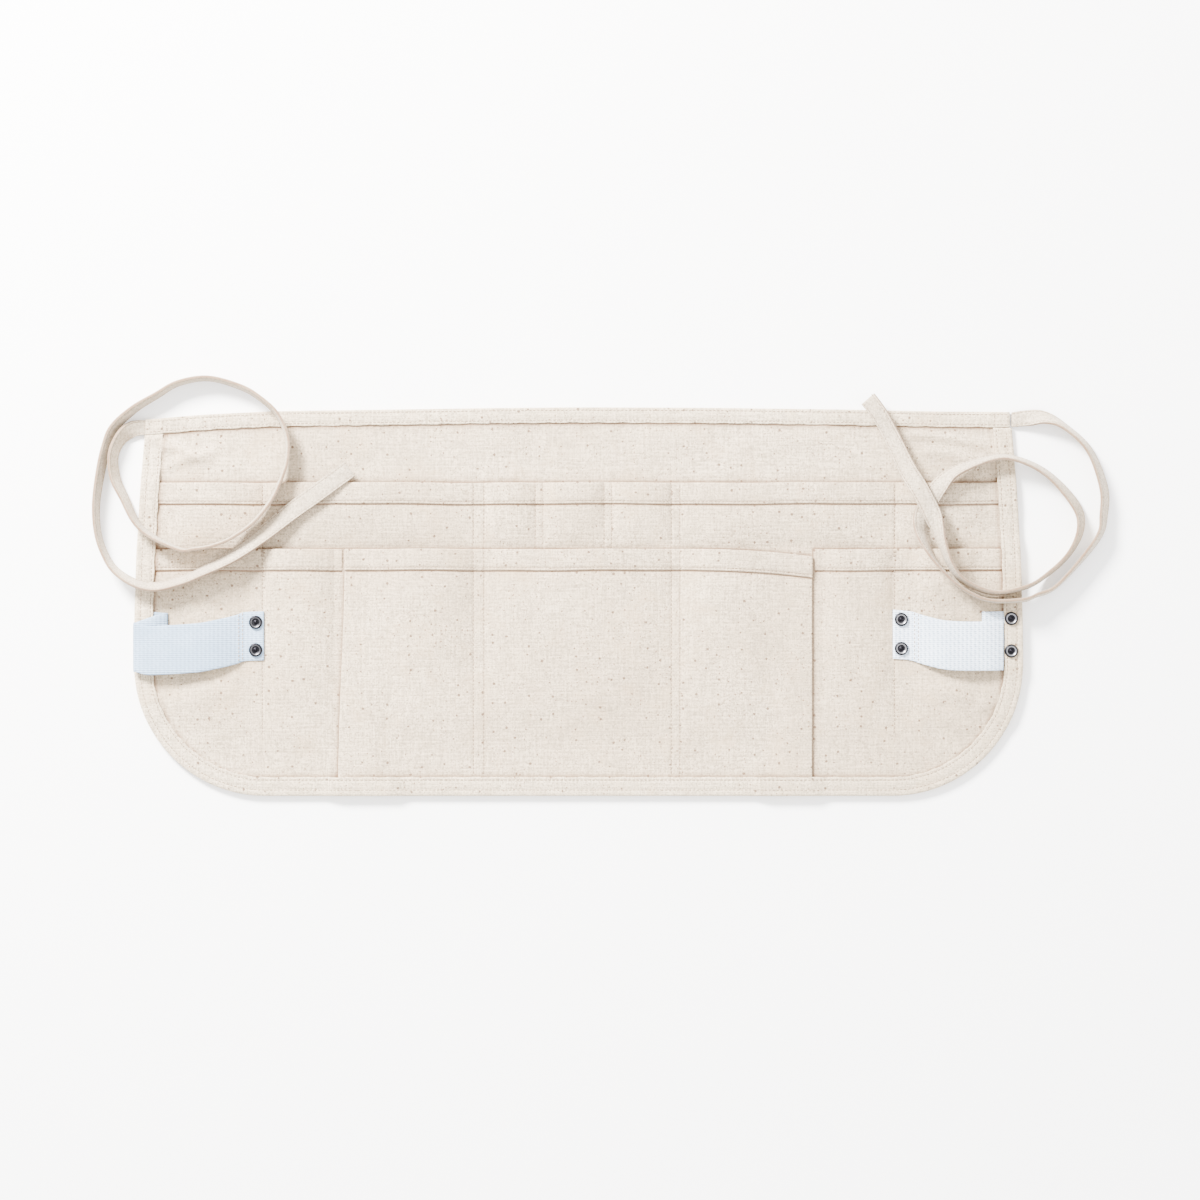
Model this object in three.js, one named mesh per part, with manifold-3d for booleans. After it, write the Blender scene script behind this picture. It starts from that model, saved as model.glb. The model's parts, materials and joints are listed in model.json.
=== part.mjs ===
// A carpenter's waist apron of cotton canvas, lying on its back: a bound back panel, an upper and a lower
// row of pockets, a waistband that runs out into two ties, and a riveted webbing loop at each side.
// Millimetres. X runs across the apron, +Y towards the waistband, +Z up from the surface it lies on.
import * as THREE from "three";
import { mergeVertices } from "three/addons/utils/BufferGeometryUtils.js";
import Module from "manifold-3d";

const wasm = await Module();
wasm.setup();

// Driving dimensions: the body's outline
const BODY_WIDTH = 711.2;
const BODY_HEIGHT = 311.2;
const CORNER_RADIUS = 104.6;
const SIDE_FLARE = 9.1; // how far each side leans in at the waistband
const WAIST_DROP = 10.8; // how far the waistband's left end hangs below its middle

// Driving dimensions: cloth
const CLOTH = 1.0; // one layer of canvas
const GAP = 0.35; // air between two pieces that touch
const HEM_EXTRA = 0.9; // the turned-over layer along each pocket mouth
const HEM_DEPTH = 16.8;
const BINDING_WIDTH = 15;
const WAISTBAND_HEIGHT = 12.4;

// Driving dimensions: the pockets, from the bottom edge up and from the centre line out
const UPPER_MOUTH_HEIGHT = 251.2;
const UPPER_FLOOR_HEIGHT = 80.6;
const LOWER_MOUTH_HEIGHT = 198;
const LOWER_FLOOR_HEIGHT = 44;
const SEAM_FROM_EDGE = 102.6; // from the apron's side to its side seam, which a webbing loop spans
const SIDE_SEAM_X = BODY_WIDTH / 2 - SEAM_FROM_EDGE;
const SEAM_ROWS = 8; // between the two stitch rows of a double seam
const FOLD_FROM_SEAM = 66;
const FOLD_X = SIDE_SEAM_X - FOLD_FROM_SEAM; // the folded edges of the nail pocket
const FOLD_SLANT = 5.5; // how far the left fold swings out at the bottom
const FOLD_TUCK = 15; // how far the cloth returns under each fold
const CORNER_SAG = 6; // how far the nail pocket's right mouth corner hangs
const UPPER_GAPE = 5.4; // how far the pocket fronts stand away from the cloth behind them
const SIDE_GAPE = 6.4;
const NAIL_GAPE = 7.5;

// Driving dimensions: webbing loops
const WEBBING = 1.3;
const WEBBING_WIDTH = 39.2;
const LOOP_HEIGHT = 27; // how far the riveted ends lie below the middle of the apron's height
const LOOP_RISE = 8.3; // how high the slack front layer stands over the lowest one
const LOOP_SLIP = 8.6; // how far the slack layers have slid down from the riveted ends

// Driving dimensions: rivets
const RIVET_HEAD_D = 10.8;
const RIVET_HEAD_HEIGHT = 1.9;
const RIVET_POST_D = 4;
const RIVET_TAIL_D = 9;
const RIVET_TAIL_HEIGHT = 0.9;
const RIVET_SPACING = 24;
const RIVET_FROM_SEAM = 5.2; // from the side seam out to the inner pair
const RIVET_FROM_EDGE = 9.6; // from the apron's outer edge in to the outer pair

// Driving dimensions: ties
const TIE_WIDTH = 14.5;
const TIE_THICKNESS = 2.4;

// Seams that divide the pockets: at is a share of SIDE_SEAM_X, half a share of half of SEAM_ROWS.
const SEAMS = [
  { at: -1, half: 0.3, reaches: "both" },
  { at: -0.316, half: 1.1, reaches: "both" },
  { at: -0.125, half: 0.8, reaches: "upper" },
  { at: 0.093, half: 0.8, reaches: "upper" },
  { at: 0.307, half: 0.9, reaches: "both" },
  { at: 1, half: 0.3, reaches: "both" },
].map(({ at, half, reaches }) => ({ at: at * SIDE_SEAM_X, half: (half * SEAM_ROWS) / 2, reaches }));

// The waistband's top edge: drop is a share of WAIST_DROP, at is a share of half the width.
const WAIST_LINE = [
  { at: -1, drop: 1 },
  { at: -0.85, drop: 0.55 },
  { at: -0.68, drop: 0.28 },
  { at: -0.42, drop: 0.17 },
  { at: -0.2, drop: 0.06 },
  { at: 0, drop: 0 },
  { at: 0.3, drop: 0.04 },
  { at: 0.6, drop: 0.17 },
  { at: 0.8, drop: 0.31 },
  { at: 1, drop: 0.36 },
];

// The line of each loop's slack layer, from its seam end to the fold at its outer end: out is a share of
// the way, up a share of LOOP_RISE over the lowest layer, slip a share of LOOP_SLIP below the riveted ends.
const RIGHT_SLACK = [
  { out: 0, up: 0, slip: -0.1 },
  { out: 0.16, up: 0, slip: 0.05 },
  { out: 0.24, up: 0.2, slip: 0.3 },
  { out: 0.35, up: 0.6, slip: 0.62 },
  { out: 0.48, up: 0.93, slip: 0.9 },
  { out: 0.66, up: 1, slip: 1 },
  { out: 0.84, up: 0.9, slip: 1 },
  { out: 0.95, up: 0.62, slip: 1 },
];
const LEFT_SLACK = [
  { out: 0, up: 0, slip: 0.05 },
  { out: 0.146, up: 0, slip: 0.12 },
  { out: 0.205, up: 0.2, slip: 0.35 },
  { out: 0.28, up: 0.5, slip: 0.6 },
  { out: 0.375, up: 0.83, slip: 0.85 },
  { out: 0.48, up: 0.98, slip: 1.1 },
  { out: 0.615, up: 1.04, slip: 1.25 },
  { out: 0.76, up: 1, slip: 1.35 },
  { out: 0.9, up: 0.9, slip: 1.4 },
];

// Where each pair of rivets sits: spread is a share of RIVET_SPACING, slip as above.
const RIVET_PAIRS = [
  { name: "inner_left", side: -1, inner: true, spread: 0.92, slip: 0.08 },
  { name: "inner_right", side: 1, inner: true, spread: 0.97, slip: -0.12 },
  { name: "outer_left", side: -1, inner: false, spread: 0.9, slip: 0.5 },
  { name: "outer_right", side: 1, inner: false, spread: 1.08, slip: -0.05 },
];

// Derived sizes
const HALF_WIDTH = BODY_WIDTH / 2;
const HALF_HEIGHT = BODY_HEIGHT / 2;
const PITCH = CLOTH + GAP; // one layer and the air over it
const CORNER_X = HALF_WIDTH - CORNER_RADIUS;
const CORNER_Y = CORNER_RADIUS - HALF_HEIGHT;
const UPPER_MOUTH_Y = UPPER_MOUTH_HEIGHT - HALF_HEIGHT;
const UPPER_FLOOR_Y = UPPER_FLOOR_HEIGHT - HALF_HEIGHT;
const LOWER_MOUTH_Y = LOWER_MOUTH_HEIGHT - HALF_HEIGHT;
const LOWER_FLOOR_Y = LOWER_FLOOR_HEIGHT - HALF_HEIGHT;
const EDGE_INSET = CLOTH + GAP; // panels end this far inside the folded tapes
const STEP = 0.4; // width of the step at a hem's sewn edge
const OVERSIZE = 5; // grids reach past the outline before they are cut to it
const SIDE_TOP_Y = HALF_HEIGHT - WAISTBAND_HEIGHT;
const LOOP_Y = -LOOP_HEIGHT;
const HALF_WEBBING = WEBBING_WIDTH / 2;

// Heights of the layers, each the underside of a cloth
const BACK_LOW = PITCH;
const UPPER_LOW = BACK_LOW + PITCH;
const LOWER_LOW = UPPER_LOW + PITCH;
const WEBBING_LOW = LOWER_LOW + PITCH;
const WEBBING_PITCH = WEBBING + GAP;
const RIM_WEBBING_LOW = WEBBING_LOW + WEBBING_PITCH; // the binding's front layer where it holds the webbing

const smooth = (t) => {
  const s = Math.min(1, Math.max(0, t));
  return s * s * (3 - 2 * s);
};
const lerp = (a, b, t) => a + (b - a) * t;
const sorted = (list) => [...new Set(list.map((v) => Math.round(v * 1000) / 1000))].sort((a, b) => a - b);
const mirrored = (list) => [...list, ...list.map((v) => -v)];

function waistTop(x) {
  const u = x / HALF_WIDTH;
  let k = 1;
  while (k < WAIST_LINE.length - 1 && u > WAIST_LINE[k].at) k++;
  const a = WAIST_LINE[k - 1];
  const b = WAIST_LINE[k];
  const drop = lerp(a.drop, b.drop, (u - a.at) / (b.at - a.at));
  return HALF_HEIGHT - WAIST_DROP * drop;
}
const waistBottom = (x) => waistTop(x) - WAISTBAND_HEIGHT;

// Half the apron's width at a height on its sides, above the round corners.
const halfWidthAt = (y) => HALF_WIDTH - SIDE_FLARE * ((y - CORNER_Y) / (SIDE_TOP_Y - CORNER_Y)) ** 2;
const WAIST_END_X = halfWidthAt(SIDE_TOP_Y);

// Pocket fronts bulge between their seams.
const byCompartment = (edges) =>
  edges.slice(1).map((edge, i) => ({
    from: edges[i].at + edges[i].half,
    to: edge.at - edge.half,
  }));

const RIM_CLEAR = 15; // flat cloth beside the binding
const LOOP_CLEAR = 15; // flat cloth under a loop's riveted inner end
const LOOP_FOLD_CLEAR = 23; // flat cloth under its folded outer end
const FOLD_CLEAR = 3;
const TUCK_CLEAR = 6;
const rimEdge = (side) => ({ at: side * (HALF_WIDTH - BINDING_WIDTH - RIM_CLEAR), half: 0 });
const UPPER_POCKETS = byCompartment([rimEdge(-1), ...SEAMS, rimEdge(1)]);
const foldEdge = (side) => ({ at: side * FOLD_X, half: FOLD_TUCK + TUCK_CLEAR });
const nailSeams = SEAMS.filter((s) => s.reaches === "both" && Math.abs(s.at) < FOLD_X);
const NAIL_POCKETS = byCompartment([foldEdge(-1), ...nailSeams, foldEdge(1)]);
const SIDE_POCKETS = [
  { from: FOLD_X + FOLD_SLANT + FOLD_CLEAR, to: SIDE_SEAM_X - SEAMS[0].half },
  { from: SIDE_SEAM_X + LOOP_CLEAR, to: HALF_WIDTH - BINDING_WIDTH - LOOP_FOLD_CLEAR },
];

// A bulge across one compartment: 1 in the middle, 0 at its seams. A narrow pocket gapes less.
const DOME_POWER = 2.5;
const NARROW_SHARE = 0.115;
const WIDE_SHARE = 0.16;
function domeAt(x, compartments, height, share) {
  const c = compartments.find((k) => x > k.from && x < k.to);
  if (!c) return 0;
  const half = (c.to - c.from) / 2;
  const s = Math.abs(x - (c.from + c.to) / 2) / half;
  return Math.min(height, share * 2 * half) * (1 - s ** DOME_POWER);
}
const rising = (y, floor, mouth, power) =>
  1 - (1 - Math.min(1, Math.max(0, (y - floor) / (mouth - floor)))) ** power;

// The upper panel lies flat behind the lower pockets and bulges above their mouths.
const UPPER_BULGE_FLOOR = LOWER_MOUTH_Y + 2;
const upperLow = (x, y) =>
  UPPER_LOW +
  domeAt(x, UPPER_POCKETS, UPPER_GAPE, NARROW_SHARE) *
    rising(y, UPPER_BULGE_FLOOR, UPPER_MOUTH_Y, 3);

// Below the upper panel's end the lower ones come down by one layer.
const FLOOR_RAMP = 10;
const FLOOR_CLEAR = 2;
const RAMP_TOP_Y = UPPER_FLOOR_Y - FLOOR_CLEAR;
const lowerFlat = (y) => LOWER_LOW - PITCH * smooth((RAMP_TOP_Y - y) / FLOOR_RAMP);
const lowerRise = (y) => rising(y, LOWER_FLOOR_Y, LOWER_MOUTH_Y, 1.8);

// The loop's webbing presses the outer part of the side pocket down.
const PRESS = 0.6;
const PRESS_MARGIN = 5;
const PRESS_RUN = 22;
const PRESS_Y = LOOP_Y - LOOP_SLIP / 2;
function pressed(x, y) {
  if (Math.abs(x) < SIDE_SEAM_X) return 1;
  const beyond = Math.abs(y - PRESS_Y) - HALF_WEBBING - PRESS_MARGIN;
  return 1 - PRESS * (1 - smooth(beyond / PRESS_RUN));
}
const sideLow = (x, y) =>
  lowerFlat(y) +
  domeAt(Math.abs(x), SIDE_POCKETS, SIDE_GAPE, WIDE_SHARE) * lowerRise(y) * pressed(x, y);

const PLEAT_FULL = FOLD_X - FOLD_TUCK - 4;
const PLEAT_START = PLEAT_FULL - 18;
const pleatLift = (x) =>
  2 * PITCH * smooth((Math.abs(x) - PLEAT_START) / (PLEAT_FULL - PLEAT_START));
const nailLow = (x, y) =>
  lowerFlat(y) + domeAt(x, NAIL_POCKETS, NAIL_GAPE, WIDE_SHARE) * lowerRise(y) + pleatLift(x);

// Mesh helpers
function geometryOf(positions, faces) {
  const g = new THREE.BufferGeometry();
  g.setAttribute("position", new THREE.Float32BufferAttribute(positions.flat(), 3));
  g.setIndex(faces.flat());
  return g;
}

// A closed solid between two surfaces that share one grid: low and high give the points of column i, row j.
function slab(columns, rows, low, high) {
  const positions = [];
  for (const side of [low, high])
    for (let j = 0; j < rows; j++) for (let i = 0; i < columns; i++) positions.push(side(i, j));
  const count = columns * rows;
  const at = (i, j, up) => (up ? count : 0) + j * columns + i;
  const faces = [];
  for (let j = 0; j < rows - 1; j++)
    for (let i = 0; i < columns - 1; i++) {
      faces.push([at(i, j, 1), at(i + 1, j, 1), at(i + 1, j + 1, 1)]);
      faces.push([at(i, j, 1), at(i + 1, j + 1, 1), at(i, j + 1, 1)]);
      faces.push([at(i, j, 0), at(i + 1, j + 1, 0), at(i + 1, j, 0)]);
      faces.push([at(i, j, 0), at(i, j + 1, 0), at(i + 1, j + 1, 0)]);
    }
  const wall = (a, b) => {
    faces.push([at(...a, 0), at(...b, 0), at(...b, 1)]);
    faces.push([at(...a, 0), at(...b, 1), at(...a, 1)]);
  };
  for (let i = 0; i < columns - 1; i++) {
    wall([i, 0], [i + 1, 0]);
    wall([i + 1, rows - 1], [i, rows - 1]);
  }
  for (let j = 0; j < rows - 1; j++) {
    wall([columns - 1, j], [columns - 1, j + 1]);
    wall([0, j + 1], [0, j]);
  }
  return geometryOf(positions, faces);
}

// A closed solid swept through stations that each hold the same closed section.
function sweep(stations) {
  const n = stations[0].length;
  const faces = [];
  for (let s = 0; s < stations.length - 1; s++)
    for (let k = 0; k < n; k++) {
      const a = s * n + k;
      const b = s * n + ((k + 1) % n);
      faces.push([a, b, b + n]);
      faces.push([a, b + n, a + n]);
    }
  const cap = (from, section, flip) => {
    for (const [a, b, c] of THREE.ShapeUtils.triangulateShape(sectionPlan(section), []))
      faces.push(flip ? [from + a, from + c, from + b] : [from + a, from + b, from + c]);
  };
  cap(0, stations[0], true);
  cap((stations.length - 1) * n, stations.at(-1), false);
  return geometryOf(stations.flat(), faces);
}

// The section's points in its own plane, so that its end caps can be filled.
function sectionPlan(points) {
  const p = points.map((q) => new THREE.Vector3(...q));
  const normal = new THREE.Vector3();
  for (let k = 0; k < p.length; k++) {
    normal.add(new THREE.Vector3().crossVectors(p[k], p[(k + 1) % p.length]));
  }
  normal.normalize();
  const u = new THREE.Vector3().subVectors(p[1], p[0]).normalize();
  const v = new THREE.Vector3().crossVectors(normal, u);
  return p.map((q) => new THREE.Vector2(q.dot(u), q.dot(v)));
}

// Faces that shrink to a line at a turned shape's axis are left out, and a solid always faces outwards.
function solidOf(geometry) {
  const bare = new THREE.BufferGeometry();
  bare.setAttribute("position", geometry.getAttribute("position"));
  bare.setIndex(geometry.index);
  const merged = mergeVertices(bare, 1e-4);
  const ids = merged.index.array;
  const faces = [];
  for (let i = 0; i < ids.length; i += 3) {
    const face = [ids[i], ids[i + 1], ids[i + 2]];
    if (new Set(face).size === 3) faces.push(face);
  }
  const made = (list) =>
    new wasm.Manifold(
      new wasm.Mesh({
        numProp: 3,
        vertProperties: merged.attributes.position.array,
        triVerts: new Uint32Array(list.flat()),
      }),
    );
  const solid = made(faces);
  return solid.volume() > 0 ? solid : made(faces.map(([a, b, c]) => [a, c, b]));
}

function geometryOfSolid(solid) {
  const mesh = solid.getMesh();
  const g = new THREE.BufferGeometry();
  g.setAttribute("position", new THREE.BufferAttribute(mesh.vertProperties, 3));
  g.setIndex(new THREE.BufferAttribute(mesh.triVerts, 1));
  g.computeVertexNormals();
  return g;
}

// The apron's outline, drawn in by an inset, as a block between two heights.
const ARC_STEPS = 10;
function outlineBlock(inset, from, to) {
  const right = [];
  const ys = [1, 0.66, 0.33, 0].map((t) => lerp(CORNER_Y, HALF_HEIGHT, t));
  for (const y of ys) right.push([halfWidthAt(y) - inset, y]);
  for (let k = 1; k <= ARC_STEPS; k++) {
    const a = (Math.PI / 2) * (k / ARC_STEPS);
    const r = CORNER_RADIUS - inset;
    right.push([CORNER_X + r * Math.cos(a), CORNER_Y - r * Math.sin(a)]);
  }
  const left = right.map(([x, y]) => [-x, y]).reverse();
  const outline = [...right, ...left].map(([x, y]) => [x, Math.min(y, waistTop(x) - inset)]);
  for (const { at } of WAIST_LINE.slice(1, -1)) {
    outline.push([at * HALF_WIDTH, waistTop(at * HALF_WIDTH) - inset]);
  }
  const shape = new THREE.Shape(outline.map(([x, y]) => new THREE.Vector2(x, y)));
  const block = new THREE.ExtrudeGeometry(shape, { depth: to - from, bevelEnabled: false });
  block.translate(0, 0, from);
  return solidOf(block);
}
const TALL = 80;
const panelBlock = outlineBlock(EDGE_INSET, -TALL, TALL);

const ROUND_SIDES = 10;
function drum(x, y, diameter, from, to) {
  const g = new THREE.CylinderGeometry(diameter / 2, diameter / 2, to - from, ROUND_SIDES);
  g.rotateX(Math.PI / 2);
  g.translate(x, y, (from + to) / 2);
  return solidOf(g);
}

// Rivet places, and the holes that their posts and tails pass through
const RIVET_CLEAR = 0.35;
const RIVETS = RIVET_PAIRS.flatMap(({ name, side, inner, spread, slip }) =>
  ["upper", "lower"].map((place, i) => {
    const y = LOOP_Y - slip * LOOP_SLIP + (i ? -0.5 : 0.5) * spread * RIVET_SPACING;
    const x = side * (inner ? SIDE_SEAM_X + RIVET_FROM_SEAM : HALF_WIDTH - RIVET_FROM_EDGE);
    return { name: `rivet_${name}_${place}`, x, y, inner };
  }),
);
const headLow = (rivet) => (rivet.inner ? WEBBING_LOW + WEBBING_PITCH : RIM_WEBBING_LOW + PITCH);
const HOLE_TOP = RIM_WEBBING_LOW + PITCH - GAP / 2;
const postHoles = wasm.Manifold.union(
  RIVETS.map(({ x, y }) => drum(x, y, RIVET_POST_D + 2 * RIVET_CLEAR, -PITCH, HOLE_TOP)),
);
const tailHoles = wasm.Manifold.union(
  RIVETS.filter((r) => !r.inner).map(({ x, y }) =>
    drum(x, y, RIVET_TAIL_D + 2 * RIVET_CLEAR, -PITCH, CLOTH + GAP / 2),
  ),
);

// Panels
const WIDE_POCKET = 100;
const domeLines = (compartments) =>
  compartments.flatMap(({ from, to }) => {
    const wide = [0, 0.1, 0.25, 0.5, 0.75, 0.9, 1];
    const narrow = [0, 0.18, 0.5, 0.82, 1];
    return (to - from > WIDE_POCKET ? wide : narrow).map((s) => lerp(from, to, s));
  });

function heightField(columns, rows, rowY, low, thickness) {
  const y = (i, j) => rowY(columns[i], rows[j]);
  const z = (i, j) => low(columns[i], y(i, j));
  return slab(
    columns.length,
    rows.length,
    (i, j) => [columns[i], y(i, j), z(i, j)],
    (i, j) => [columns[i], y(i, j), z(i, j) + thickness(columns[i], rows[j])],
  );
}

// A row is a height, or a depth below the mouth's line with the hem's extra layer.
const fixed = (y) => ({ y });
const hemRows = [
  { depth: HEM_DEPTH + STEP, hem: false },
  { depth: HEM_DEPTH, hem: true },
  { depth: 0, hem: true },
];
const rowHeight = (mouth) => (x, row) => (row.depth === undefined ? row.y : mouth(x) - row.depth);
const clothThickness = (x, row) => CLOTH + (row.hem ? HEM_EXTRA : 0);

const backPanel = () => outlineBlock(EDGE_INSET, BACK_LOW, BACK_LOW + CLOTH).subtract(postHoles);

function upperPocketPanel() {
  const columns = sorted([...mirrored([HALF_WIDTH + OVERSIZE]), ...domeLines(UPPER_POCKETS)]);
  const bulgeRows = [0, 0.12, 0.3].map((t) => lerp(UPPER_BULGE_FLOOR, UPPER_MOUTH_Y, t));
  const rows = [UPPER_FLOOR_Y, ...bulgeRows].map(fixed).concat(hemRows);
  const mouth = rowHeight(() => UPPER_MOUTH_Y);
  const sheet = heightField(columns, rows, mouth, upperLow, clothThickness);
  return solidOf(sheet).intersect(panelBlock).subtract(postHoles);
}

const floorRows = [-HALF_HEIGHT - OVERSIZE, LOWER_FLOOR_Y, RAMP_TOP_Y - FLOOR_RAMP, RAMP_TOP_Y];
const pressRows = [1, 0.5, 0].map((t) => HALF_WEBBING + PRESS_MARGIN + PRESS_RUN * t);

const HEM_START = FOLD_X + 2;
function sidePocket(side) {
  const flatColumns = [FOLD_X - FOLD_TUCK, HEM_START - STEP, HEM_START, HALF_WIDTH + OVERSIZE];
  const columns = [...flatColumns, ...domeLines(SIDE_POCKETS)];
  const rows = sorted([...floorRows, ...mirrored(pressRows).map((v) => PRESS_Y + v)]);
  const mouth = rowHeight(() => LOWER_MOUTH_Y);
  const thickness = (x, row) => (Math.abs(x) < HEM_START - STEP / 2 ? CLOTH : clothThickness(x, row));
  const sheet = heightField(
    sorted(columns.map((x) => x * side)),
    rows.filter((y) => y < LOWER_MOUTH_Y - HEM_DEPTH - STEP).map(fixed).concat(hemRows),
    mouth,
    sideLow,
    thickness,
  );
  return solidOf(sheet).intersect(panelBlock).subtract(postHoles);
}

// The nail pocket's front is folded back under itself at both sides.
const SAG_START = 0.6; // share of the way to the right fold where its mouth starts to hang
const nailMouth = (x) =>
  LOWER_MOUTH_Y - CORNER_SAG * Math.max(0, (x / FOLD_X - SAG_START) / (1 - SAG_START)) ** 1.5;
function foldX(side, y) {
  const down = (LOWER_MOUTH_Y - y) / LOWER_MOUTH_HEIGHT;
  return side * (FOLD_X + (side < 0 ? FOLD_SLANT * smooth(down) : 0));
}

const FOLD_ANGLES = [-90, -30, 30, 90];
const NAIL_ROWS = 4;
function nailPocket() {
  const steps = Array.from({ length: NAIL_ROWS }, (_, k) => k / NAIL_ROWS);
  const middle = steps.slice(1).map((t) => lerp(RAMP_TOP_Y, LOWER_MOUTH_Y - HEM_DEPTH, t));
  const rows = [...floorRows, ...middle].map(fixed).concat(hemRows);
  const yAt = rowHeight(nailMouth);
  const returnEnd = (side) => (row) => {
    const y = yAt(side * FOLD_X, row);
    const x = side * (FOLD_X - FOLD_TUCK + STEP);
    const z = nailLow(side * PLEAT_FULL, y) - PITCH;
    return { inner: [x, y, z + CLOTH], outer: [x, y, z] };
  };
  const fold = (side, degrees) => (row) => {
    const y = yAt(side * FOLD_X, row);
    const centreX = foldX(side, y) - side * (CLOTH + GAP / 2);
    const centreZ = nailLow(side * PLEAT_FULL, y) - GAP / 2;
    const a = (degrees * Math.PI) / 180;
    const point = (r) => [centreX + side * r * Math.cos(a), y, centreZ + r * Math.sin(a)];
    return { inner: point(GAP / 2), outer: point(CLOTH + GAP / 2) };
  };
  const front = (x) => (row) => {
    const y = yAt(x, row);
    const z = nailLow(x, y);
    return { inner: [x, y, z], outer: [x, y, z + clothThickness(x, row)] };
  };
  const columns = sorted([...domeLines(NAIL_POCKETS), ...mirrored([PLEAT_START, PLEAT_FULL])]);
  const across = [
    returnEnd(-1),
    ...FOLD_ANGLES.map((a) => fold(-1, a)),
    ...columns.map(front),
    ...[...FOLD_ANGLES].reverse().map((a) => fold(1, a)),
    returnEnd(1),
  ];
  const sheet = slab(
    across.length,
    rows.length,
    (i, j) => across[i](rows[j]).inner,
    (i, j) => across[i](rows[j]).outer,
  );
  return solidOf(sheet).intersect(panelBlock);
}

// Tapes folded over an edge
// A section in (inward, up): the tape's back layer, its outer turn and its front layer.
function foldedTape(width, frontLow) {
  const round = CLOTH * 0.6;
  return [
    [width, 0],
    [width, CLOTH],
    [CLOTH, CLOTH],
    [CLOTH, frontLow],
    [width, frontLow],
    [width, frontLow + CLOTH],
    [round, frontLow + CLOTH],
    [0, frontLow + CLOTH - round],
    [0, round],
    [round, 0],
  ];
}

// How high the binding's front layer lies over the layers at a place on the rim.
const HEM_BAND = HEM_DEPTH + STEP;
const PLEATS = [
  { from: PLEAT_START, to: FOLD_X },
  { from: -FOLD_X - FOLD_SLANT, to: -PLEAT_START },
];
function rimFront(x, y, side) {
  if (side && y < LOOP_Y + HALF_WEBBING && y > CORNER_Y - STEP) return RIM_WEBBING_LOW;
  if (y > UPPER_MOUTH_Y) return UPPER_LOW;
  if (y > LOWER_MOUTH_Y) return LOWER_LOW + (y > UPPER_MOUTH_Y - HEM_BAND ? HEM_EXTRA : 0);
  const pleat = !side && PLEATS.some(({ from, to }) => x > from && x < to);
  const behind = y > RAMP_TOP_Y - FLOOR_RAMP ? WEBBING_LOW : LOWER_LOW;
  const hem = y > LOWER_MOUTH_Y - HEM_BAND ? HEM_EXTRA : 0;
  return behind + hem + (pleat ? 2 * PITCH : 0);
}
const RISE_MARGIN = 2;
const RISE_RUN = 6;
function highestFront(x, y, side) {
  const shifts = [-1, 0, 1].map((s) => s * (RISE_MARGIN + STEP));
  return Math.max(...shifts.map((s) => (side ? rimFront(x, y + s, side) : rimFront(x + s, y, side))));
}

// Places where the layers change, each with two stops so that the tape climbs between them.
const above = (v) => [v + RISE_MARGIN, v + RISE_MARGIN + RISE_RUN];
const under = (v) => [v - RISE_MARGIN, v - RISE_MARGIN - RISE_RUN];
const sideStops = [
  ...above(UPPER_MOUTH_Y),
  ...under(UPPER_MOUTH_Y - HEM_BAND),
  ...above(LOWER_MOUTH_Y),
  ...under(LOWER_MOUTH_Y - HEM_BAND),
  ...above(LOOP_Y + HALF_WEBBING),
];
const bottomStops = PLEATS.flatMap(({ from, to }) => [...under(from), ...above(to)]);

// What the binding's path holds: a point on the outer edge, the direction inwards and the front's height.
function bindingPath() {
  const right = [];
  for (let k = ARC_STEPS; k >= 0; k--) {
    const a = (Math.PI / 2) * (k / ARC_STEPS);
    const [c, s] = [Math.cos(a), Math.sin(a)];
    const reach = CORNER_Y - (CORNER_RADIUS - BINDING_WIDTH) * s;
    const [x, y] = [CORNER_X + CORNER_RADIUS * c, CORNER_Y - CORNER_RADIUS * s];
    right.push({ x, y, inward: [-c, s], front: highestFront(x, reach, true) });
  }
  for (const y of sorted(sideStops)) {
    right.push({ x: halfWidthAt(y), y, inward: [-1, 0], front: highestFront(0, y, true) });
  }
  right.push({ end: 1, front: UPPER_LOW });
  const left = right.map((p) => {
    if (p.end) return { end: -1, front: p.front };
    return { ...p, x: -p.x, inward: [-p.inward[0], p.inward[1]] };
  });
  const bottom = sorted(bottomStops).map((x) => {
    return { x, y: -HALF_HEIGHT, inward: [0, 1], front: highestFront(x, BINDING_WIDTH - HALF_HEIGHT, false) };
  });
  return [...left.reverse(), ...bottom, ...right];
}

function edgeBinding() {
  const stations = bindingPath().map((p) => {
    const section = foldedTape(BINDING_WIDTH, p.front);
    if (!p.end) {
      return section.map(([d, z]) => [p.x + p.inward[0] * d, p.y + p.inward[1] * d, z]);
    }
    const outer = halfWidthAt(waistBottom(p.end * WAIST_END_X) - GAP);
    return section.map(([d, z]) => {
      const x = p.end * (outer - d);
      return [x, waistBottom(x) - GAP, z];
    });
  });
  return solidOf(sweep(stations)).subtract(postHoles).subtract(tailHoles);
}

function waistband() {
  const inner = WAIST_LINE.slice(1, -1).map(({ at }) => at * HALF_WIDTH);
  const xs = [-WAIST_END_X, ...inner, WAIST_END_X];
  const section = foldedTape(WAISTBAND_HEIGHT, UPPER_LOW);
  return solidOf(sweep(xs.map((x) => section.map(([d, z]) => [x, waistTop(x) - d, z]))));
}

// Webbing loops: each strip runs from its seam end out to a fold, back in to a second fold, and out again
// under the binding.
const LOOP_END_CLEAR = 2; // from the webbing's end to the binding's turn
const LOOP_SETBACK = 1.5; // the inner end, from the side seam
const FOLD_GAP = 0.6; // from the right loop's outer fold to the binding
const SHORT_TUCK = 15; // how far the right loop's middle layer runs
const LONG_TUCK = 24;
const lowest = WEBBING_LOW + WEBBING / 2;
const BINDING_INNER_X = halfWidthAt(LOOP_Y) - BINDING_WIDTH;
const webbingEndX = halfWidthAt(LOOP_Y) - CLOTH - LOOP_END_CLEAR;

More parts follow.
